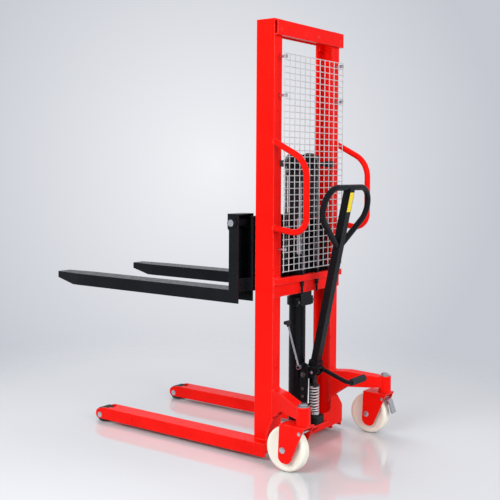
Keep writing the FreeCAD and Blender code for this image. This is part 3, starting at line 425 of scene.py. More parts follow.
GALVANISED_WIRE = Finish(
    name="galvanised_wire", slot="zinc_steel",
    colour=(0.70, 0.71, 0.715), tint=(0.62, 0.63, 0.64), edge=(0.78, 0.79, 0.795),
    roughness=0.38, spread=0.08, grain=Grain.SPANGLE, grain_scale=300.0, relief=0.0001,
    metallic=0.5, edge_wear_and_highlight=0.4, rounding=0.0006)
SPRING_STEEL = Finish(
    name="plated_spring_steel", slot="zinc_steel",
    colour=(0.80, 0.81, 0.82), tint=(0.72, 0.73, 0.74), edge=(0.86, 0.87, 0.88),
    roughness=0.30, spread=0.06, grain=Grain.TURNED, grain_scale=700.0, relief=0.00005,
    metallic=0.5, edge_wear_and_highlight=0.3, rounding=0.0006)
OILED_STEEL = Finish(
    name="oiled_dark_steel", slot="zinc_steel",
    colour=(0.060, 0.058, 0.057), tint=(0.040, 0.039, 0.038), edge=(0.20, 0.195, 0.19),
    roughness=0.34, spread=0.07, grain=Grain.TURNED, grain_scale=800.0, relief=0.00005,
    metallic=0.8, rounding=0.001)
BLACKENED_STEEL = Finish(
    name="blackened_bolt_steel", slot="zinc_steel",
    colour=(0.15, 0.148, 0.147), tint=(0.10, 0.098, 0.097), edge=(0.46, 0.455, 0.45),
    roughness=0.32, spread=0.07, grain=Grain.TURNED, grain_scale=800.0, relief=0.00005,
    metallic=1.0, rounding=0.001)
BRIGHT_STEEL = Finish(
    name="ground_steel", slot="bright_steel",
    colour=(0.72, 0.72, 0.73), tint=(0.64, 0.645, 0.66), edge=(0.85, 0.85, 0.86),
    roughness=0.16, spread=0.05, grain=Grain.TURNED, grain_scale=900.0, relief=0.00005,
    metallic=1.0, rounding=0.001)
CHAIN_STEEL = Finish(
    name="oiled_chain_steel", slot="chain_steel",
    colour=(0.42, 0.415, 0.41), tint=(0.27, 0.265, 0.26), edge=(0.66, 0.655, 0.65),
    roughness=0.36, spread=0.10, grain=Grain.CAST, grain_scale=800.0, relief=0.0001,
    metallic=1.0, rounding=0.0006)
ROLLER_IRON = Finish(
    name="machined_iron", slot="roller_iron",
    colour=(0.30, 0.295, 0.29), tint=(0.20, 0.195, 0.19), edge=(0.58, 0.575, 0.57),
    roughness=0.38, spread=0.08, grain=Grain.TURNED, grain_scale=700.0, relief=0.0001,
    metallic=1.0, rounding=0.001)
IVORY_NYLON = Finish(
    name="ivory_nylon", slot="ivory_nylon",
    colour=(0.97, 0.965, 0.925), tint=(0.95, 0.94, 0.89), edge=(0.98, 0.975, 0.94),
    roughness=0.40, spread=0.08, grain=Grain.MOULDED, grain_scale=320.0, relief=0.0003,
    edge_wear_and_highlight=0.3, glow=0.12)
BLACK_POLYMER = Finish(
    name="black_polymer", slot="black_polymer",
    colour=(0.016, 0.016, 0.017), tint=(0.024, 0.024, 0.025), edge=(0.06, 0.06, 0.06),
    roughness=0.48, spread=0.08, grain=Grain.MOULDED, grain_scale=500.0, relief=0.0003,
    specular=0.3)
BLACK_RUBBER = Finish(
    name="black_rubber", slot="black_rubber",
    colour=(0.012, 0.012, 0.013), tint=(0.02, 0.02, 0.021), edge=(0.045, 0.045, 0.046),
    roughness=0.62, spread=0.08, grain=Grain.CAST, grain_scale=640.0, relief=0.0005,
    specular=0.25)
YELLOW_STRIP = Finish(
    name="yellow_vinyl", slot=None,
    colour=(0.86, 0.66, 0.02), tint=(0.80, 0.59, 0.015), edge=(0.90, 0.76, 0.15),
    roughness=0.38, spread=0.05, grain=Grain.MOULDED, grain_scale=300.0, relief=0.0001,
    edge_wear_and_highlight=0.3, rounding=0.0006)


def dress(nodes: Iterable[str], finish: Finish) -> None:
    """Gives CAD nodes a finish.

    Args:
        nodes: Names of the nodes.
        finish: The finish that they get.
    """
    for name in nodes:
        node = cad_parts[name]
        if not node.material_slots:
            node.data.materials.append(finish.material())
        for holder in node.material_slots:
            holder.material = finish.material()
        log.info("dressed %s in %s", name, finish.name)


class Shell:
    """Gathers the vertices and faces of one piece before it becomes an object."""

    SHARP_ANGLE = math.radians(35.0)

    def __init__(self) -> None:
        """Starts empty."""
        self.points: list[Vector] = []
        self.faces: list[tuple[int, ...]] = []

    def add(self, points: Iterable[Vector], faces: Iterable[Sequence[int]]) -> None:
        """Adds vertices and faces.

        Args:
            points: The new vertices.
            faces: Their faces, which count from the first of them.
        """
        start = len(self.points)
        self.points.extend(points)
        self.faces.extend(tuple(start + i for i in face) for face in faces)

    def rings(self, rings: Sequence[Sequence[Vector]], capped: bool, looped: bool = False) -> None:
        """Skins a row of rings that have the same number of points.

        Args:
            rings: The rings, in order.
            capped: Whether the first and last ring are closed by a face.
            looped: Whether the last ring joins the first.
        """
        count = len(rings[0])
        total = len(rings)
        faces: list[Sequence[int]] = []
        for i in range(total if looped else total - 1):
            a, b = i * count, (i + 1) % total * count
            faces += [(a + j, a + (j + 1) % count, b + (j + 1) % count, b + j)
                      for j in range(count)]
        if capped:
            faces.append(tuple(reversed(range(count))))
            faces.append(tuple(range((total - 1) * count, total * count)))
        self.add([p for ring in rings for p in ring], faces)

    def sweep(self, path: Sequence[Vector], radius: Callable[[float], float], sides: int) -> None:
        """Sweeps a round section along a path.

        Args:
            path: Points of the centre line.
            radius: Section radius at a share of the path from 0 to 1.
            sides: Points round the section.
        """
        last = len(path) - 1
        across = (path[1] - path[0]).orthogonal().normalized()
        rings = []
        for i, centre in enumerate(path):
            along = (path[min(i + 1, last)] - path[max(i - 1, 0)]).normalized()
            across = (across - along * across.dot(along)).normalized()
            rings.append(circle(centre, across, along.cross(across), radius(i / last), sides))
        self.rings(rings, capped=True)

    def lathe(self, centre: Vector, axis: Vector, profile: Profile, sides: int,
              looped: bool) -> None:
        """Turns a profile about an axis.

        Args:
            centre: A point on the axis.
            axis: Direction of the axis.
            profile: Pairs of radius and place along the axis.
            sides: Points round the axis.
            looped: Whether the profile closes on itself, as on a ring.
        """
        across = axis.orthogonal().normalized()
        other = axis.cross(across)
        rings = [circle(centre + axis * place, across, other, size, sides)
                 for size, place in profile]
        self.rings(rings, capped=not looped, looped=looped)

    def piece(self, name: str, finish: Finish) -> bpy.types.Object:
        """Turns what was gathered into a smooth-shaded object.

        Args:
            name: Name of the piece.
            finish: Its finish.

        Returns:
            The new object, not yet riding on a body.
        """
        mesh = bpy.data.meshes.new(name)
        mesh.from_pydata([tuple(p) for p in self.points], [], self.faces)
        mesh.validate()
        mesh.materials.append(finish.material())
        mesh.polygons.foreach_set("use_smooth", [True] * len(mesh.polygons))
        mesh.set_sharp_from_angle(angle=self.SHARP_ANGLE)
        made = bpy.data.objects.new(name, mesh)
        bpy.context.scene.collection.objects.link(made)
        log.info("built %s with %d faces", name, len(mesh.polygons))
        return made


@dataclass
class WeldBeads:
    """Weld beads laid along the seams of one body.

    Attributes:
        name: Name of the piece.
        body: Body that carries the beads.
        finish: Paint over the beads.
        leg: Size of the bead.
        ripple: Distance between the ripples.
        valley: Size between two ripples, as a share of the leg.
        sides: Points round the bead.
        least_steps: Fewest steps in a straight bead.
        least_round: Fewest steps in a round bead.
        shell: Where the beads are gathered.
    """

    STEPS_IN_RIPPLE = 2

    name: str
    body: str
    finish: Finish
    leg: float = 0.0042
    ripple: float = 0.0045
    valley: float = 0.86
    sides: int = 6
    least_steps: int = 4
    least_round: int = 16
    shell: Shell = field(default_factory=Shell)

    def steps(self, length: float) -> int:
        """Returns how many steps show the ripples over a length."""
        return round(length / self.ripple * self.STEPS_IN_RIPPLE)

    def rippled(self, count: int) -> Callable[[float], float]:
        """Returns the bead's size along a run of so many steps."""
        return lambda share: self.leg * (
            self.valley + (1.0 - self.valley) * (round(share * count) % self.STEPS_IN_RIPPLE))

    def run(self, *corners: Point) -> None:
        """Lays a rippled bead through some corners.

        Args:
            corners: The corners, in order.
        """
        points = [Vector(c) for c in corners]
        for start, end in zip(points, points[1:]):
            count = max(self.least_steps, self.steps((end - start).length))
            self.shell.sweep(between(start, end, count), self.rippled(count), self.sides)

    def ring(self, centre: Vector, axis: Vector, radius: float) -> None:
        """Lays a bead round a tube's end.

        Args:
            centre: Middle of the tube's end.
            axis: Direction of the tube.
            radius: Radius of the tube.
        """
        across = axis.orthogonal().normalized()
        count = max(self.least_round, self.steps(2.0 * math.pi * radius))
        loop = circle(centre, across, axis.cross(across), radius, count)
        self.shell.sweep([*loop, loop[0]], self.rippled(count), self.sides)

    def build(self) -> None:
        """Makes the piece and lets it ride."""
        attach(self.shell.piece(self.name, self.finish), self.body)


@dataclass
class LeafChain:
    """A pair of leaf chains, one on each side of the piston.

    Attributes:
        centre_x: Distance of each chain from the middle.
        pitch: Distance between pins.
        depth: Plate height.
        width: Width over the pins.
        lanes: Plates side by side.
        plate_share: Share of the width that the plates take up.
        lane_ends: Where a plate starts and ends in its lane, as shares.
        waist: Plate height between the pins, as a share of the depth.
        pin_radius: Radius of the riveted pins.
        pin_sides: Points round a pin.
        arc_steps: Steps on each plate end.
    """

    centre_x: float
    pitch: float = 0.0127
    depth: float = 0.0094
    width: float = 0.012
    lanes: int = 5
    plate_share: float = 0.92
    lane_ends: tuple[float, float] = (0.03, 0.97)
    waist: float = 0.74
    pin_radius: float = 0.0021
    pin_sides: int = 8
    arc_steps: int = 5

    def outline(self, length: float) -> list[tuple[float, float]]:
        """Draws a plate.

        Args:
            length: Distance between the plate's pins.

        Returns:
            The plate's outline, along the run and across it.
        """
        radius = self.depth / 2.0
        points = []
        for centre, start, sign in ((length, -0.5, 1.0), (0.0, 0.5, -1.0)):
            turns = [math.pi * (start + i / self.arc_steps) for i in range(self.arc_steps + 1)]
            points += [(centre + radius * math.cos(t), radius * math.sin(t)) for t in turns]
            points.append((length / 2.0, radius * self.waist * sign))
        return points

    def link(self, shell: Shell, place: Placer, start: float, length: float, number: int) -> None:
        """Adds one link with its pin.

        Args:
            shell: Where the link goes.
            place: Maps across, along and out from the run to a point.
            start: Where along the run the link starts.
            length: Distance between this link's pins.
            number: Place in the chain; odd links take the other lanes.
        """
        plates = self.width * self.plate_share
        lane = plates / self.lanes
        for i in range(number % 2, self.lanes, 2):
            faces = [-plates / 2.0 + (i + share) * lane for share in self.lane_ends]
            shell.rings([[place(x, start + along, out) for along, out in self.outline(length)]
                         for x in faces], capped=True)
        pin = [(self.pin_radius * math.cos(t), self.pin_radius * math.sin(t))
               for t in full_turn(self.pin_sides)]
        shell.rings([[place(x, start + along, out) for along, out in pin]
                     for x in (-self.width / 2.0, self.width / 2.0)], capped=True)

    def straight(self, side: float, y: float, low: float) -> Placer:
        """Returns the places of a strand that stands upright on one side."""
        return lambda x, along, out: Vector((side * self.centre_x + x, y - out, low + along))

    def bent(self, side: float, centre_y: float, centre_z: float, radius: float) -> Placer:
        """Lays a chain over the pulley on one side.

        Args:
            side: Sign of X on that side.
            centre_y: Depth of the pulley's axis.
            centre_z: Height of the pulley's axis.
            radius: Radius at which the pins run.

        Returns:
            What maps across, along and out from the run to a point.
        """
        return lambda x, along, out: Vector((
            side * self.centre_x + x, centre_y - (radius + out) * math.cos(along / radius),
            centre_z + (radius + out) * math.sin(along / radius)))

    def strand(self, shell: Shell, y: float, low: float, length: float,
               numbers: Sequence[int]) -> None:
        """Adds links of a straight strand to both chains.

        Args:
            shell: Where the links go.
            y: Depth of the strand.
            low: Height of the strand's lower end.
            length: Distance between the pins.
            numbers: Places of the links in the strand.
        """
        for side in SIDES.values():
            for i in numbers:
                self.link(shell, self.straight(side, y, low), i * length, length, i)

    def wrap(self, shell: Shell, centre_y: float, centre_z: float, radius: float,
             total: int) -> None:
        """Adds the links that lie over the top of both pulleys.

        Args:
            shell: Where the links go.
            centre_y: Depth of the pulleys' axis.
            centre_z: Height of the pulleys' axis.
            radius: Radius at which the pins run.
            total: Number of links over each pulley.
        """
        length = math.pi * radius / total
        for side in SIDES.values():
            for i in range(total):
                self.link(shell, self.bent(side, centre_y, centre_z, radius), i * length, length, i)


class SubAssembly:
    """A group of pieces that is built and dressed together."""

    def build(self) -> None:
        """Builds the group's own meshes, where it has any."""

    def dress(self) -> None:
        """Finishes the group's CAD nodes."""
        raise NotImplementedError


@dataclass
class MastFrame(SubAssembly):
    """Red mast, base, straddle legs, arms and grab bars.

    Attributes:
        post_outer: Half width over the uprights.
        post_inner: Half width between the uprights' open sides.
        post_front: Front plane of the uprights.
        post_foot: Height of the uprights' lower end.
        leg_inner: Half width between the legs.
        grab_radius: Radius of the grab bars' tube.
        grab_x: Distance of a grab bar from the middle.
        grab_ends: Heights of a grab bar's two ends at the mast.
        arm_top: Height of the caster arms' upper edge at the mast.
        arm_root: Height of the caster arms' lower edge at the mast.
        beam: Lower and upper edge of the middle crossbeam.
    """

    post_outer: float = 0.281
    post_inner: float = 0.221
    post_front: float = -0.448
    post_foot: float = 0.078
    leg_inner: float = 0.245
    grab_radius: float = 0.014
    grab_x: float = 0.273
    grab_ends: tuple[float, float] = (1.053, 1.445)
    arm_top: float = 0.316
    arm_root: float = 0.185
    beam: tuple[float, float] = (0.738, 0.824)

    def build(self) -> None:
        """Lays the weld beads of the frame."""
        beads = WeldBeads("frame_welds", "mast", RED_PAINT)
        for side in SIDES.values():
            outer, inner = side * self.post_outer, side * self.post_inner
            foot = self.post_foot
            beads.run((outer, MAST_REAR, foot), (outer, self.post_front, foot),
                      (side * self.leg_inner, self.post_front, foot))
            beads.run((outer, MAST_REAR, self.arm_root), (outer, MAST_REAR, self.arm_top),
                      (inner, MAST_REAR, self.arm_top))
            for height in self.beam:
                beads.run((outer, MAST_REAR, height), (inner, MAST_REAR, height))
            for height in self.grab_ends:
                beads.ring(Vector((side * self.grab_x, MAST_REAR, height)), Y_AXIS,
                           self.grab_radius)
        beads.build()

    def dress(self) -> None:
        """Paints the frame and finishes its fasteners and mesh."""
        pairs = ("upright", "leg", "caster_arm", "grab_bar")
        dress([f"{side}_{part}" for side in SIDES for part in pairs], RED_PAINT)
        dress(["top_crossbar", "top_front_tie", "middle_crossbeam", "base_crossbeam"], RED_PAINT)
        dress(["frame_bolts"], BLACKENED_STEEL)
        dress(["mesh_screws"], ZINC)
        dress(["mesh_guard"], GALVANISED_WIRE)


@dataclass
class LiftGear(SubAssembly):
    """Cylinder, piston, crosshead and the two lift chains.

    Attributes:
        chain: The chain pair.
        pulley_y: Depth of the pulleys' axis.
        pulley_z: Height of the pulleys' axis.
        pitch_radius: Radius at which the chain's pins run.
        rear_low: Height of the rear strands' anchors.
        front_low: Height of the front strands' anchors.
        wrap_links: Links over each pulley.
        cuts: Shares of a strand at which it is split.
    """

    chain: LeafChain = field(default_factory=lambda: LeafChain(centre_x=0.064))
    pulley_y: float = MAST_REAR + 0.031
    pulley_z: float = 1.347
    pitch_radius: float = 0.048
    rear_low: float = 0.844
    front_low: float = 0.860
    wrap_links: int = 12
    cuts: tuple[float, ...] = (0.0, 0.03, 0.15, 0.3, 0.5, 0.7, 0.85, 0.97, 1.0)

    @staticmethod
    def eased(share: float) -> float:
        """Returns the place at which a smooth step reaches a share."""
        return 0.5 - math.sin(math.asin(1.0 - 2.0 * share) / 3.0)

    def strand(self, name: str, body: str, y: float, low: float, node: str) -> None:
        """Builds one pair of strands as pieces.

        Args:
            name: Start of the pieces' names.
            body: Body at the lower end; the upper end is the crosshead. Not used.
            y: Depth of the strands.
            low: Height of the lower end.
            node: CAD node that the pieces replace.
        """
        rise = self.pulley_z - low
        total = round(rise / self.chain.pitch)
        for i, (start, end) in enumerate(zip(self.cuts, self.cuts[1:])):
            shell = Shell()
            numbers = range(round(start * total), round(end * total))
            self.chain.strand(shell, y, low, rise / total, numbers)
            made = shell.piece(f"{name}_{i + 1}", CHAIN_STEEL)
            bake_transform(made)
            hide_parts(node)

    def build(self) -> None:
        """Builds the strands and the stretch over the pulleys."""
        self.strand("rear_chain", "mast", self.pulley_y - self.pitch_radius, self.rear_low,
                    "rear_chains")
        self.strand("front_chain", "carriage", self.pulley_y + self.pitch_radius, self.front_low,
                    "front_chains")
        shell = Shell()
        self.chain.wrap(shell, self.pulley_y, self.pulley_z, self.pitch_radius, self.wrap_links)
        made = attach(shell.piece("pulley_chain", CHAIN_STEEL), "crosshead")
        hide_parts("chain_wraps")

    def dress(self) -> None:
        """Finishes the lift's CAD nodes."""
        dress(["lift_cylinder", "cylinder_clamp", "lift_crosshead", "chain_anchors"], BLACK_PAINT)
        dress(["piston_rod", "pulley_pins"], BRIGHT_STEEL)
        dress(["chain_pulleys"], ROLLER_IRON)
        dress(["rear_chains", "front_chains", "chain_wraps"], CHAIN_STEEL)
        dress(["crosshead_shoes"], BLACK_POLYMER)


@dataclass
class Carriage(SubAssembly):
    """Black carriage, its guide rollers and the two forks, all as the CAD has them."""

    def dress(self) -> None:
        """Finishes the carriage and the forks."""
        dress(["carriage_frame", "left_fork", "right_fork", "shaft_collars"], BLACK_PAINT)
        dress(["fork_shaft", "guide_roller_pins"], BRIGHT_STEEL)
        dress(["upper_guide_rollers", "lower_guide_rollers"], ROLLER_IRON)


@dataclass
class PumpAndTiller(SubAssembly):
    """Foot and hand pump, its spring, the tiller and the release lever.

    Attributes:
        spring_centre: Foot of the spring's axis.
        spring_height: Free height of the spring.
        coil_radius: Radius at the middle of the wire.
        wire: Wire thickness.
        wire_sides: Points round the wire.
        turns: Turns from end to end.
        dead_turns: Turns at each end that lie flat.
        steps: Steps in one turn.
        stroke: Travel of the plunger; not used.
        sleeve_start: Inner end of the pedal sleeve.
        sleeve_length: Length of the sleeve with its dome.
        sleeve_radius: Radius over the ribs.
        sleeve_bore: Radius of the hole for the pedal bar.
        sleeve_sides: Points round the sleeve.
        dome: Height of the sleeve's rounded end.
        dome_turns: Angles up the rounded end, in radians.
        rib_pitch: Distance between the ribs.
        rib_depth: Height of a rib.
        rib_steps: Start of a rib's crown, end of it and end of the rib, as shares of the pitch.
        stem_top_rear: Upper end of the tiller stem on its rear face.
        lean: Lean of the tiller in degrees.
        strip_gap: Distance of the blank yellow strip from the stem's upper end.
        strip_length: Length of the strip.
        strip_width: Width of the strip.
        strip_thick: Thickness of the strip.
    """

    spring_centre: Point = (0.0, MAST_REAR - 0.050, 0.168)
    spring_height: float = 0.122
    coil_radius: float = 0.020
    wire: float = 0.006
    wire_sides: int = 10
    turns: float = 9.5
    dead_turns: float = 1.0
    steps: int = 28
    stroke: float = 0.0305
    sleeve_start: Point = (0.068, MAST_REAR - 0.212, 0.316)
    sleeve_length: float = 0.123
    sleeve_radius: float = 0.017
    sleeve_bore: float = 0.0101
    sleeve_sides: int = 32
    dome: float = 0.006
    dome_turns: tuple[float, ...] = (0.0, 0.4, 0.8, 1.15, 1.4)
    rib_pitch: float = 0.0075
    rib_depth: float = 0.0009
    rib_steps: tuple[float, float, float] = (0.15, 0.65, 0.8)
    stem_top_rear: Point = (0.0, -0.7976, 1.2346)
    lean: float = 11.9
    strip_gap: float = 0.020
    strip_length: float = 0.092
    strip_width: float = 0.033
    strip_thick: float = 0.0004

    def spring_rise(self, turn: float) -> float:
        """Finds the wire's height, with flat end turns.

        Args:
            turn: Turns from the spring's foot.

        Returns:
            The height of the wire's underside above the foot.
        """
        free = self.spring_height - self.wire
        flat = self.wire * self.dead_turns
        live = (free - 2.0 * flat) / (self.turns - 2.0 * self.dead_turns)
        if turn < self.dead_turns:
            return turn * self.wire
        if turn > self.turns - self.dead_turns:
            return free - (self.turns - turn) * self.wire
        return flat + (turn - self.dead_turns) * live

    def build_spring(self) -> None:
        """Winds the return spring."""
        foot = Vector(self.spring_centre)
        half = self.wire / 2.0
        path = []
        for i in range(round(self.turns * self.steps) + 1):
            turn = i / self.steps
            angle = 2.0 * math.pi * turn
            path.append(foot + Vector((
                self.coil_radius * math.cos(angle), self.coil_radius * math.sin(angle),
                half + self.spring_rise(turn))))
        shell = Shell()
        shell.sweep(path, lambda share: half, self.wire_sides)
        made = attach(shell.piece("pump_spring", SPRING_STEEL), "mast")
        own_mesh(made)
        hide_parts("return_spring")

    def build_sleeve(self) -> None:
        """Moulds the ribbed rubber sleeve of the pedal."""
        high = self.sleeve_radius
        low = high - self.rib_depth
        crown_start, crown_end, rib_end = (share * self.rib_pitch for share in self.rib_steps)
        profile = [(self.sleeve_bore, 0.0), (low, 0.0)]
        for i in range(int((self.sleeve_length - 2.0 * self.rib_pitch) / self.rib_pitch)):
            start = (i + 1) * self.rib_pitch
            profile += [(low, start), (high, start + crown_start), (high, start + crown_end),
                        (low, start + rib_end)]
        profile += [(high * math.cos(t), self.sleeve_length - self.dome + self.dome * math.sin(t))
                    for t in self.dome_turns]
        shell = Shell()
        shell.lathe(Vector(self.sleeve_start), X_AXIS, profile, self.sleeve_sides, looped=False)
        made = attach(shell.piece("pedal_grip", BLACK_RUBBER), "tiller")
        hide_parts("pedal_sleeve")

    def build_strip(self) -> None:
        """Lays the blank yellow strip on the rear face of the tiller stem."""
        lean = math.radians(self.lean)
        down = Vector((0.0, math.sin(lean), -math.cos(lean)))
        out = Vector((0.0, -math.cos(lean), -math.sin(lean)))
        start = Vector(self.stem_top_rear) + down * self.strip_gap
        half = Vector((self.strip_width / 2.0, 0.0, 0.0))
        end = start + down * self.strip_length
        outline = [start - half, start + half, end + half, end - half]
        shell = Shell()
        shell.rings([outline, [p + out * self.strip_thick for p in outline]], capped=True)
        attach(shell.piece("tiller_strip", YELLOW_STRIP), "tiller")

    def build(self) -> None:
        """Builds the spring, the sleeve and the strip."""
        self.build_spring()
        self.build_sleeve()
        self.build_strip()

    def dress(self) -> None:
        """Finishes the pump's CAD nodes."""
        dress(["pump_block", "pump_bracket", "rocker_casting", "tiller_stem", "tiller_loop",
               "pedal_bar"], BLACK_PAINT)
        dress(["release_lever", "plunger_collar", "rocker_roller"], ZINC)
        dress(["pivot_shaft"], BLACKENED_STEEL)
        dress(["return_spring"], SPRING_STEEL)
        dress(["pump_plunger"], OILED_STEEL)
        dress(["pedal_sleeve", "release_knob"], BLACK_RUBBER)


@dataclass
class RollingGear(SubAssembly):
    """Casters with their brake, and the load rollers.

    Attributes:
        wheel_x: Distance of a caster wheel from the middle.
        wheel_y: Depth of the wheel axles.
        radius: Wheel radius.
        half_tread: Half width of the tread.
        half_hub: Half width of the hub.
        half_web: Half thickness of the web.
        hub_radius: Radius of the hub.
        bore: Radius of the hole for the bolt.
        hub_edge: Points of the hub's edge, from its radius and its face.
        web_root: Points where the web leaves the hub, from the hub's radius and the web's face.
        web_rim: Points where the web meets the rim, from the wheel's radius and the web's face.
        tread_edge: Points of the tread's edge, from the wheel's radius and the tread's face.
        sides: Points round the wheel.
    """

    wheel_x: float = 0.371
    wheel_y: float = -0.697
    radius: float = 0.100
    half_tread: float = 0.025
    half_hub: float = 0.0375
    half_web: float = 0.0215
    hub_radius: float = 0.024
    bore: float = 0.0081
    hub_edge: Profile = ((-0.003, 0.0), (0.0, -0.003))
    web_root: Profile = ((0.003, 0.006), (0.009, 0.0))
    web_rim: Profile = ((-0.026, 0.0), (-0.020, 0.003))
    tread_edge: Profile = ((-0.017, -0.002), (-0.014, 0.0), (-0.007, -0.0008), (-0.003, -0.004),
                           (-0.0008, -0.009), (0.0, -0.016))
    sides: int = 96

    def wheel_profile(self) -> list[tuple[float, float]]:
        """Draws the wheel's section.

        Returns:
            One half from bore to crown, then its mirror.
        """
        corners = ((self.hub_radius, self.half_hub, self.hub_edge),
                   (self.hub_radius, self.half_web, self.web_root),
                   (self.radius, self.half_web, self.web_rim),
                   (self.radius, self.half_tread, self.tread_edge))
        half = [(self.bore, self.half_hub)]
        half += [(size + out, face + rise) for size, face, points in corners
                 for out, rise in points]
        return half + [(size, -place) for size, place in reversed(half)]

    def build(self) -> None:
        """Moulds the two nylon wheels."""
        for name, side in SIDES.items():
            shell = Shell()
            centre = Vector((side * self.wheel_x, self.wheel_y, self.radius))
            shell.lathe(centre, X_AXIS, self.wheel_profile(), self.sides, looped=True)
            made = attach(shell.piece(f"{name}_nylon_wheel", IVORY_NYLON), f"wheel_{name}")
            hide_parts(f"{name}_wheel")

    def dress(self) -> None:
        """Finishes the casters and rollers."""
        for side in SIDES:
            dress([f"{side}_caster_yoke"], RED_PAINT)
            dress([f"{side}_caster_bolts", f"{side}_king_pin"], ZINC)
            dress([f"{side}_wheel"], IVORY_NYLON)
            dress([f"{side}_load_roller"], BLACK_POLYMER)
        dress(["brake_pedal", "roller_axles"], ZINC)


@dataclass(frozen=True)
class Lamp:
    """A soft square lamp that lights the scene without showing in it.

    Attributes:
        name: Name of the lamp.
        place: Where it hangs.
        aim: Point that it faces.
        size: Side of the lamp.
        power: Power in watts.
    """

    name: str
    place: Point
    aim: Point
    size: float
    power: float

    def hang(self) -> None:
        """Adds the lamp to the scene."""
        data = bpy.data.lights.new(self.name, "AREA")
        data.size = self.size
        data.energy = self.power
        lamp = bpy.data.objects.new(self.name, data)
        lamp.location = self.place
        lamp.rotation_mode = "QUATERNION"
        way = Vector(self.aim) - Vector(self.place)
        lamp.rotation_quaternion = way.to_track_quat("-Z", "Y")
        lamp.visible_camera = False
        lamp.visible_glossy = False
        bpy.context.scene.collection.objects.link(lamp)


@dataclass
class Studio:
    """Floor, backdrop, lamps and camera.

    Attributes:
        eye: Camera position.
        yaw: Turn of the view from +Y towards +X in degrees.
        pitch: Tilt of the view above the horizon in degrees.
        roll: Turn of the picture in degrees.
        sensor: Width of the camera's sensor in millimetres.
        lens: Focal length in millimetres.
        rise: Vertical shift of the picture, in picture heights.
        floor_radius: Radius of the floor.
        floor_sides: Points round the floor.
        floor_fade: Distances at which the floor starts to fade and is gone.
        floor_colour: Colour of the floor, linear.
        floor_roughness: Roughness of the floor.
        floor_specular: Strength of the floor's reflection.
        sky_colour: Colour of the light from all round.
        sky_strength: Strength of that light.
        backdrop_aim: Turn and tilt of the middle of the backdrop's painted pool of light in
            degrees.
        backdrop_spread: Distance from there to the rim colour, in units of the view direction.
        backdrop_light_pool: Colour of the painted pool of light, the lightest of the backdrop.
        backdrop_falloff: Colour of the backdrop away from there, where the painted light falls off.
        backdrop_low: Colour below the horizon, where the floor has faded.
        backdrop_dip: Drop of the view at which the low colour starts and is full.
        lamps: The lamps.
    """

    eye: Point = (-3.60912, -2.87354, 1.32286)
    yaw: float = 53.55203
    pitch: float = -2.00325
    roll: float = 0.36444
    sensor: float = 36.0
    lens: float = 64.710
    rise: float = -0.10
    floor_radius: float = 9.0
    floor_sides: int = 96
    floor_fade: tuple[float, float] = (1.25, 2.75)
    floor_colour: Colour = (0.60, 0.61, 0.63)
    floor_roughness: float = 0.08
    floor_specular: float = 1.0
    sky_colour: Colour = (0.95, 0.96, 1.0)
    sky_strength: float = 0.32
    backdrop_aim: tuple[float, float] = (51.3, 0.2)
    backdrop_spread: float = 0.31
    backdrop_light_pool: Colour = (0.89, 0.90, 0.93)
    backdrop_falloff: Colour = (0.56, 0.58, 0.635)
    backdrop_low: Colour = (0.78, 0.79, 0.815)
    backdrop_dip: tuple[float, float] = (-0.22, -0.5)
    lamps: tuple[Lamp, ...] = (
        Lamp("key_lamp", (-3.5, -0.2, 2.6), (0.0, -0.3, 0.8), size=2.6, power=143.0),
        Lamp("rear_lamp", (-0.8, -4.0, 2.2), (0.0, -0.4, 0.7), size=2.6, power=124.0),
        Lamp("top_lamp", (1.4, 1.9, 4.3), (0.7, 0.9, 0.3), size=3.4, power=150.0))

    def axes(self) -> tuple[Vector, Vector, Vector]:
        """Finds how the camera stands.

        Returns:
            Its right, up and forward directions.
        """
        yaw, roll = math.radians(self.yaw), math.radians(self.roll)
        ahead = heading(self.yaw, self.pitch)
        right = Vector((math.cos(yaw), -math.sin(yaw), 0.0))
        up = right.cross(ahead)
        return (right * math.cos(roll) + up * math.sin(roll),
                up * math.cos(roll) - right * math.sin(roll), ahead)

    def place_camera(self) -> None:
        """Sets the camera at the photograph's viewing angle."""
        data = bpy.data.cameras.new("camera")
        data.sensor_width = self.sensor
        data.lens = self.lens
        data.shift_y = self.rise
        camera = bpy.data.objects.new("camera", data)
        right, up, ahead = self.axes()
        turn = Matrix((right, up, -ahead)).transposed().to_4x4()
        camera.matrix_world = Matrix.Translation(Vector(self.eye)) @ turn
        bpy.context.scene.collection.objects.link(camera)
        bpy.context.scene.camera = camera

    def lay_floor(self) -> None:
        """Lays a pale, slightly glossy round floor."""
        ring = [(self.floor_radius * math.cos(t), self.floor_radius * math.sin(t), 0.0)
                for t in full_turn(self.floor_sides)]
        mesh = bpy.data.meshes.new("floor")
        mesh.from_pydata(ring, [], [tuple(range(self.floor_sides))])
        mesh.materials.append(self.floor_material())
        floor = bpy.data.objects.new("floor", mesh)
        bpy.context.scene.collection.objects.link(floor)

    def floor_material(self) -> bpy.types.Material:
        """Makes the floor's finish, which fades into the backdrop away from the object.

        Returns:
            The material.
        """
        material = bpy.data.materials.new("studio_floor")
        material.use_nodes = True
        nodes = Nodes(material.node_tree)
        shader = nodes.tree.nodes["Principled BSDF"]
        shader.inputs["Base Color"].default_value = (*self.floor_colour, 1.0)
        shader.inputs["Roughness"].default_value = self.floor_roughness
        shader.inputs["Specular IOR Level"].default_value = self.floor_specular
        reach = nodes.node("ShaderNodeVectorMath", operation="LENGTH")
        nodes.link(nodes.node("ShaderNodeTexCoord").outputs["Object"], reach.inputs[0])
        fade = nodes.spread(reach.outputs["Value"], 0.0, 1.0, *self.floor_fade, curve="SMOOTHSTEP")
        clear = nodes.node("ShaderNodeBsdfTransparent").outputs["BSDF"]
        nodes.link(nodes.layered(fade, shader.outputs["BSDF"], clear),
                   nodes.tree.nodes["Material Output"].inputs["Surface"])
        return material

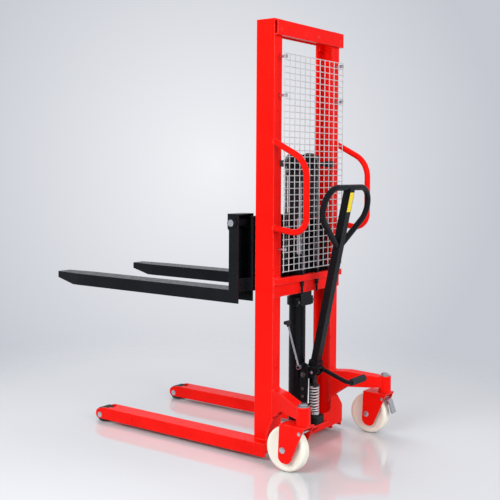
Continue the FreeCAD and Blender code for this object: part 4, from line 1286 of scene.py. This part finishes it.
    def backdrop_colour(self, nodes: Nodes) -> Socket:
        """Adds a pale backdrop with a painted pool of light behind the object in the photograph's
        view, darker towards the rim.

        Args:
            nodes: The world's nodes.

        Returns:
            The backdrop's colour.
        """
        look = nodes.node("ShaderNodeTexCoord").outputs["Generated"]
        away = nodes.node("ShaderNodeVectorMath", operation="DISTANCE")
        away.inputs[1].default_value = heading(*self.backdrop_aim)
        nodes.link(look, away.inputs[0])
        height = nodes.node("ShaderNodeSeparateXYZ")
        nodes.link(look, height.inputs["Vector"])
        # Painted pool of light on the backdrop, falling off from its lightest place towards the
        # rim.
        rim = nodes.spread(away.outputs["Value"], 0.0, 1.0, 0.0, self.backdrop_spread)
        low = nodes.spread(height.outputs["Z"], 0.0, 1.0, *self.backdrop_dip)
        wall = nodes.mixed(rim, self.backdrop_light_pool, self.backdrop_falloff)
        return nodes.mixed(low, wall, self.backdrop_low)

    def light_world(self) -> None:
        """Lights the scene softly and shows a pale backdrop behind it."""
        world = bpy.data.worlds.new("studio")
        bpy.context.scene.world = world
        world.use_nodes = True
        nodes = Nodes(world.node_tree)
        sky = nodes.tree.nodes["Background"]
        sky.inputs["Color"].default_value = (*self.sky_colour, 1.0)
        sky.inputs["Strength"].default_value = self.sky_strength
        seen = nodes.node("ShaderNodeBackground")
        seen.inputs["Strength"].default_value = 1.0
        nodes.link(self.backdrop_colour(nodes), seen.inputs["Color"])
        rays = nodes.node("ShaderNodeLightPath")
        either = nodes.node("ShaderNodeMath", operation="MAXIMUM")
        nodes.link(rays.outputs["Is Camera Ray"], either.inputs[0])
        nodes.link(rays.outputs["Is Glossy Ray"], either.inputs[1])
        shown = nodes.layered(either.outputs["Value"], sky.outputs["Background"],
                              seen.outputs["Background"])
        nodes.link(shown, nodes.tree.nodes["World Output"].inputs["Surface"])

    def build(self) -> None:
        """Sets up floor, backdrop, lamps and camera."""
        self.lay_floor()
        self.light_world()
        for lamp in self.lamps:
            lamp.hang()
        self.place_camera()
        bpy.context.scene.view_settings.view_transform = "Standard"


def main() -> None:
    """Builds and dresses every sub-assembly, then the studio."""
    logging.basicConfig(level=logging.INFO, format="%(name)s: %(message)s")
    for group in (MastFrame(), LiftGear(), Carriage(), PumpAndTiller(), RollingGear()):
        group.build()
        group.dress()
    Studio().build()


if __name__ == "__main__":
    main()
